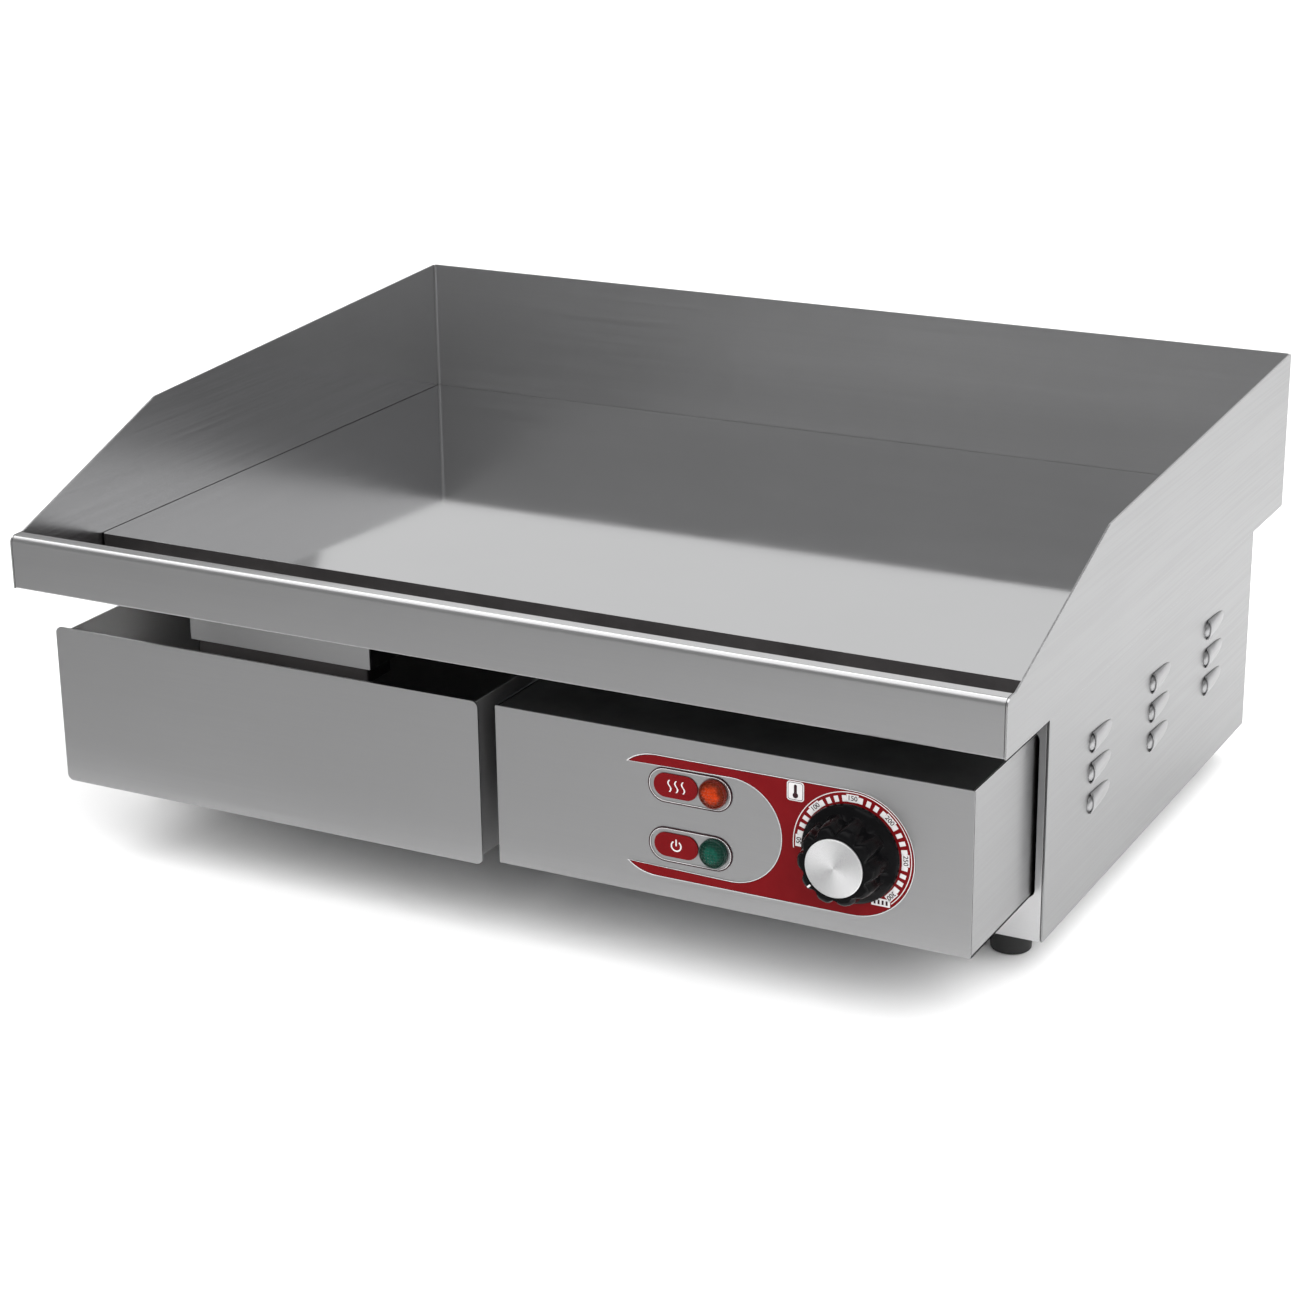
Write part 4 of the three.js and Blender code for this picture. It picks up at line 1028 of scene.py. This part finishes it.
def lobed(angle, radius, height):
    """Cuts rounded hollows between the lobes, on the outside of the grip above its skirt."""
    grip = min(max((height - 3.4 * MM) / (2.2 * MM), 0), 1)
    edge = min(max((radius - 15.5 * MM) / (3.5 * MM), 0), 1)
    dip = (0.5 - 0.5 * math.cos(LOBES * angle)) ** 2.2
    return radius - LOBE_DEPTH * grip * edge * dip


def knob():
    """A skirt and a grip with rounded lobes."""
    scale = (knob_box.y1 - knob_box.y0) / (GRIP_HEIGHT * MM)
    section = [(r * MM, h * MM * scale) for r, h in GRIP_PROFILE]
    body = lathe("knob_grip", section, KNOB_CENTRE, "-Y", 240, lobed)
    finish_piece(body, KNOB, black_plastic, ["knob_body"])


def knob_cap():
    """A metal disc let into the grip, slightly dished, with a rounded rim."""
    depth = cap_box.y1 - cap_box.y0
    front = KNOB_CENTRE.y - cap_box.y1
    disc = [(0.0, depth - 0.1 * MM), (6 * MM, depth - 0.06 * MM), (13.2 * MM, depth),
            (14.0 * MM, depth - 0.08 * MM), (14.35 * MM, depth - 0.4 * MM), (14.4 * MM, 0.0)]
    cap = lathe("knob_disc", [(r, front + h) for r, h in disc], KNOB_CENTRE, "-Y", 96)
    finish_piece(cap, KNOB, spun_aluminium(KNOB_CENTRE), ["knob_cap"])


def knob_pointer():
    mark = dial_block(POINTER_ANGLE, 15.4 * MM, 17.4 * MM, 0.9 * MM)
    tick = prism("knob_pointer", [mark], XZ, knob_box.y0 + 0.5 * MM, knob_box.y0 + 0.02 * MM)
    finish_piece(tick, KNOB, silver_ink)


knob()
knob_cap()
knob_pointer()


# ---------------- drawer
PAN_BACK_TOP = 104 * MM


def drawer_face():
    """A flat plate with rounded corners; only its rounded edges get the lighter edge steel, a painted
    highlight.
    """
    front = Place("drawer_front")
    outline = rounded_rectangle(front.x0, front.x1, front.z0, front.z1, 3.5 * MM, 10)
    plate = prism("drawer_face", [outline], XZ, front.y0, front.y1)
    paint_faces(plate, [steel_x, edge_steel_painted_highlight], lambda face: 0)
    finish_piece(soften(plate, 0.6 * MM, 3, 1), DRAWER, None, ["drawer_front"])


def drawer_pan():
    """A folded trough closed by two end walls, of which the back one is lower."""
    pan = Place("drawer_tray")
    path = [(pan.x0, pan.z1), (pan.x0, pan.z0), (pan.x1, pan.z0), (pan.x1, pan.z1)]
    trough = prism("pan_trough", [folded(path, [2 * MM, 2 * MM], side=-1)], XZ, pan.y0, pan.y1)
    x0, x1, z0 = pan.x0 + SHEET / 2, pan.x1 - SHEET / 2, pan.z0 + SHEET / 2
    near = prism("pan_near", [rectangle(x0, x1, z0, pan.z1)], XZ, pan.y0, pan.y0 + SHEET)
    far = prism("pan_far", [rectangle(x0, x1, z0, PAN_BACK_TOP)], XZ, pan.y1 - SHEET, pan.y1)
    whole = join("drawer_pan", [trough, near, far])
    finish_piece(soften(whole), DRAWER, pan_steel, ["drawer_tray"])


drawer_face()
drawer_pan()


# ---------------- feet and back screws
CORNERS = ("front_left", "front_right", "back_left", "back_right")


def foot(place):
    """A tapered rubber pad with a groove near its top and a bore for its screw."""
    box = Place(f"foot_{place}")
    centre = (box.centre.x, box.centre.y, box.z0)
    top = box.z1 - box.z0
    bore = 3.1 * MM
    seat = 7 * MM
    profile = [
        (bore, seat), (5.9 * MM, seat), (5.9 * MM, 0.3 * MM), (6.2 * MM, 0), (9.2 * MM, 0),
        (9.8 * MM, 0.3 * MM), (10.2 * MM, 1.0 * MM), (10.9 * MM, top * 0.6),
        (11.1 * MM, top - 2.6 * MM), (10.7 * MM, top - 2.2 * MM), (10.7 * MM, top - 1.6 * MM),
        (11.2 * MM, top - 1.2 * MM), (11.2 * MM, top - 0.3 * MM), (10.9 * MM, top), (bore, top),
        (bore, seat)]
    piece = lathe(f"rubber_foot_{place}", profile, centre, "Z", 48)
    finish_piece(piece, BASE, rubber, [f"foot_{place}"])


def screw_head(name, x, y, z):
    """A low pan head with a small round recess, standing off a panel that faces the back."""
    profile = [(3.4, 0), (3.4, 0.4), (2.924, 1.2), (1.87, 1.7), (0.9, 1.85), (0.7, 0.9), (0, 0.8)]
    head = lathe(name, [(r * MM, -h * MM) for r, h in profile], (x, y, z), "-Y", 32)
    finish_piece(head, BASE, zinc)


def back_screws():
    """Two rows of three, near the top and bottom edges of the back panel."""
    panel = Place("case_back")
    inset = 8 * MM
    for tenths in (-9, 0, 9):
        for row, z in enumerate((panel.z0 + inset, panel.z1 - inset)):
            screw_head(f"back_screw_{tenths + 9}_{row}", tenths / 10 * panel.x1, panel.y1, z)


for place in CORNERS:
    foot(place)
back_screws()


# ---------------- CAD nodes that stay, with their materials
CARRIED_OVER = {
    zinc: ["element_clamp_bar_1", "element_clamp_bar_2", "support_angle_front", "support_angle_back",
           *[f"clamp_nut_{k}" for k in range(1, 5)], *[f"foot_screw_{c}" for c in CORNERS],
           "earth_stud", "thermostat_body", "thermostat_shaft", "drawer_runner_left",
           "drawer_runner_right"],
    inner_x: ["heat_shield", "case_bottom", "case_divider"],
    element_metal: ["heating_element_left", "heating_element_right"],
    copper: ["capillary_tube", "capillary_bulb"],
    black_plastic: ["heat_lamp_body", "power_lamp_body", "cable_gland", "gland_locknut"],
    nylon: ["terminal_block"],
    fibre: ["insulation_mat"],
    sleeve_beige: ["wire_switched", "wire_element_link"],
    sleeve_brown: ["wire_live"],
    sleeve_blue: ["wire_neutral"],
}
for material, names in CARRIED_OVER.items():
    for name in names:
        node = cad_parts[name]
        node.data.materials.clear()
        node.data.materials.append(material)
        soften(node, 0.15 * MM)


# ---------------- floor, light and camera
FLOOR_HALF = 40.0
FLOOR_Z = cad_low.z - 0.2 * MM
WALL_RADIUS = 30.0
WALL_HEIGHT = 30.0
CARD_LEFT = -3.0
CARD_RIGHT = 1.2
CARD_FRONT = cad_low.y - 3.0
CARD_BACK = cad_low.y - 40 * MM
CARD_Z = cad_low.z + 0.4 * MM


def flat_sheet(name, outline, z, material):
    mesh = bpy.data.meshes.new(name)
    mesh.from_pydata([(x, y, z) for x, y in outline], [], [(0, 1, 2, 3)])
    mesh.materials.append(material)
    return add_object(name, mesh)


def hide_from(piece, *rays):
    """Keeps a piece out of these kinds of rays, such as diffuse or shadow."""
    for ray in rays:
        setattr(piece, f"visible_{ray}", False)


def floor():
    outline = rectangle(-FLOOR_HALF, FLOOR_HALF, -FLOOR_HALF, FLOOR_HALF)
    flat_sheet("floor", outline, FLOOR_Z, floor_paint())


def backdrop():
    """A far white wall all round, seen only by the camera, so that low views have no grey sky."""
    steps = 48
    points = []
    for z in (FLOOR_Z, WALL_HEIGHT):
        points += [(u, v, z) for u, v in circle(0, 0, WALL_RADIUS, steps)]
    wall = mesh_piece("backdrop", points, grid_faces(1, steps))
    paint = Shader("white_wall", (0, 0, 0), 1.0, **{
        "Specular IOR Level": 0.0, "Emission Color": (1, 1, 1, 1), "Emission Strength": 1.02})
    wall.data.materials.append(paint.material)
    hide_from(wall, "diffuse", "glossy", "transmission", "shadow")


def grey_card():
    """A grey card on the floor in front of the griddle, seen only in the steel's reflections."""
    outline = rectangle(CARD_LEFT, CARD_RIGHT, CARD_FRONT, CARD_BACK)
    card = flat_sheet("grey_card", outline, CARD_Z, card_paint())
    hide_from(card, "camera", "diffuse", "transmission", "shadow")


def soft_box(name, position, target, size, power, spread=180, hidden_from=()):
    """A rectangular light aimed at target; hidden_from names the kinds of rays it leaves out."""
    light = bpy.data.lights.new(name, "AREA")
    light.shape = "RECTANGLE"
    light.size, light.size_y = size
    light.energy = power
    light.spread = math.radians(spread)
    box = add_object(name, light)
    box.location = position
    aim = Vector(target) - Vector(position)
    box.rotation_mode = "QUATERNION"
    box.rotation_quaternion = aim.to_track_quat("-Z", "Y")
    hide_from(box, "camera", *hidden_from)


def world_light(strength):
    world = bpy.data.worlds.new("studio")
    world.use_nodes = True
    background = world.node_tree.nodes["Background"]
    background.inputs["Color"].default_value = (1, 1, 1, 1)
    background.inputs["Strength"].default_value = strength
    bpy.context.scene.world = world


def studio_lights():
    """The two large lights that the steel mirrors."""
    soft_box("back_light", (0.2, 2.6, 1.7), target=(0.0, 0.0, 0.2), size=(5.0, 3.0), power=19)
    soft_box("top_light", (-0.4, -0.5, 2.2), target=(-0.2, -0.2, 0), size=(4.0, 2.0), power=36,
             hidden_from=["diffuse"])


def drawer_lights():
    """Small lights for the inside of the drawer's left wall and for the front of the chute."""
    pan = Place("drawer_tray")
    side = Vector((chute_box.x0 - 4 * MM, pan.y0 + 30 * MM, pan.z1 - 2 * MM))
    wall = (pan.x0, pan.y0 + 45 * MM, pan.z1 - 15 * MM)
    soft_box("drawer_side_light", side, wall, size=(0.03, 0.02), power=0.04, hidden_from=["glossy"])
    chute = Vector((chute_box.centre.x - 22 * MM, chute_box.y0, chute_box.z0 - 2 * MM))
    ahead = Vector((0, 24 * MM, 0))
    soft_box("drawer_light", chute - ahead, chute, size=(0.154, 0.024), power=0.0025, spread=120)


FLOOR_LIGHTS = {
    "left_floor_light": ((-1.5, -0.4, 0.9), (-0.45, -0.25, 0), (1.2, 1.2), 6),
    "front_floor_light": ((1.3, -1.0, 0.9), (0.3, -0.4, 0), (1.2, 1.2), 17),
    "right_floor_light": ((1.1, 0.3, 1.0), (0.6, 0.3, 0), (1.0, 1.5), 6),
}


def floor_lights():
    """Lights for the floor round the griddle, which the steel does not mirror."""
    for name, (position, target, size, power) in FLOOR_LIGHTS.items():
        soft_box(name, position, target, size, power, hidden_from=["glossy"])


def room_light():
    """A very wide sun, like light from a whole ceiling, that only matt things take up."""
    haze = bpy.data.lights.new("room_light", "SUN")
    haze.energy = 3.8
    haze.angle = math.radians(100)
    room = add_object("room_light", haze)
    room.rotation_euler = (math.radians(12), math.radians(8), 0)
    hide_from(room, "glossy")


CAMERA_AZIMUTH = 27.871
CAMERA_ELEVATION = 19.771
CAMERA_ROLL = -0.749
CAMERA_POSITION = (0.70006, -1.34193, 0.63391)
CAMERA_LENS = 81.9


def camera():
    """Looks down at the griddle from its front right; azimuth 0 is straight from the front."""
    azimuth = math.radians(CAMERA_AZIMUTH)
    elevation = math.radians(CAMERA_ELEVATION)
    roll = math.radians(CAMERA_ROLL)
    ahead = Vector((-math.sin(azimuth) * math.cos(elevation), math.cos(azimuth) * math.cos(elevation),
                    -math.sin(elevation)))
    right = ahead.cross(Vector((0, 0, 1))).normalized()
    up = right.cross(ahead)
    right, up = right * math.cos(roll) + up * math.sin(roll), up * math.cos(roll) - right * math.sin(roll)
    data = bpy.data.cameras.new("camera")
    data.sensor_width = 36
    data.lens = CAMERA_LENS
    data.clip_start = 0.05
    data.clip_end = 60
    eye = add_object("camera", data)
    eye.matrix_world = Matrix((
        (right.x, up.x, -ahead.x, CAMERA_POSITION[0]),
        (right.y, up.y, -ahead.y, CAMERA_POSITION[1]),
        (right.z, up.z, -ahead.z, CAMERA_POSITION[2]),
        (0, 0, 0, 1)))
    bpy.context.scene.camera = eye


floor()
backdrop()
grey_card()
world_light(strength=0.31)
studio_lights()
drawer_lights()
floor_lights()
room_light()
camera()
bpy.context.scene.view_settings.view_transform = "Standard"
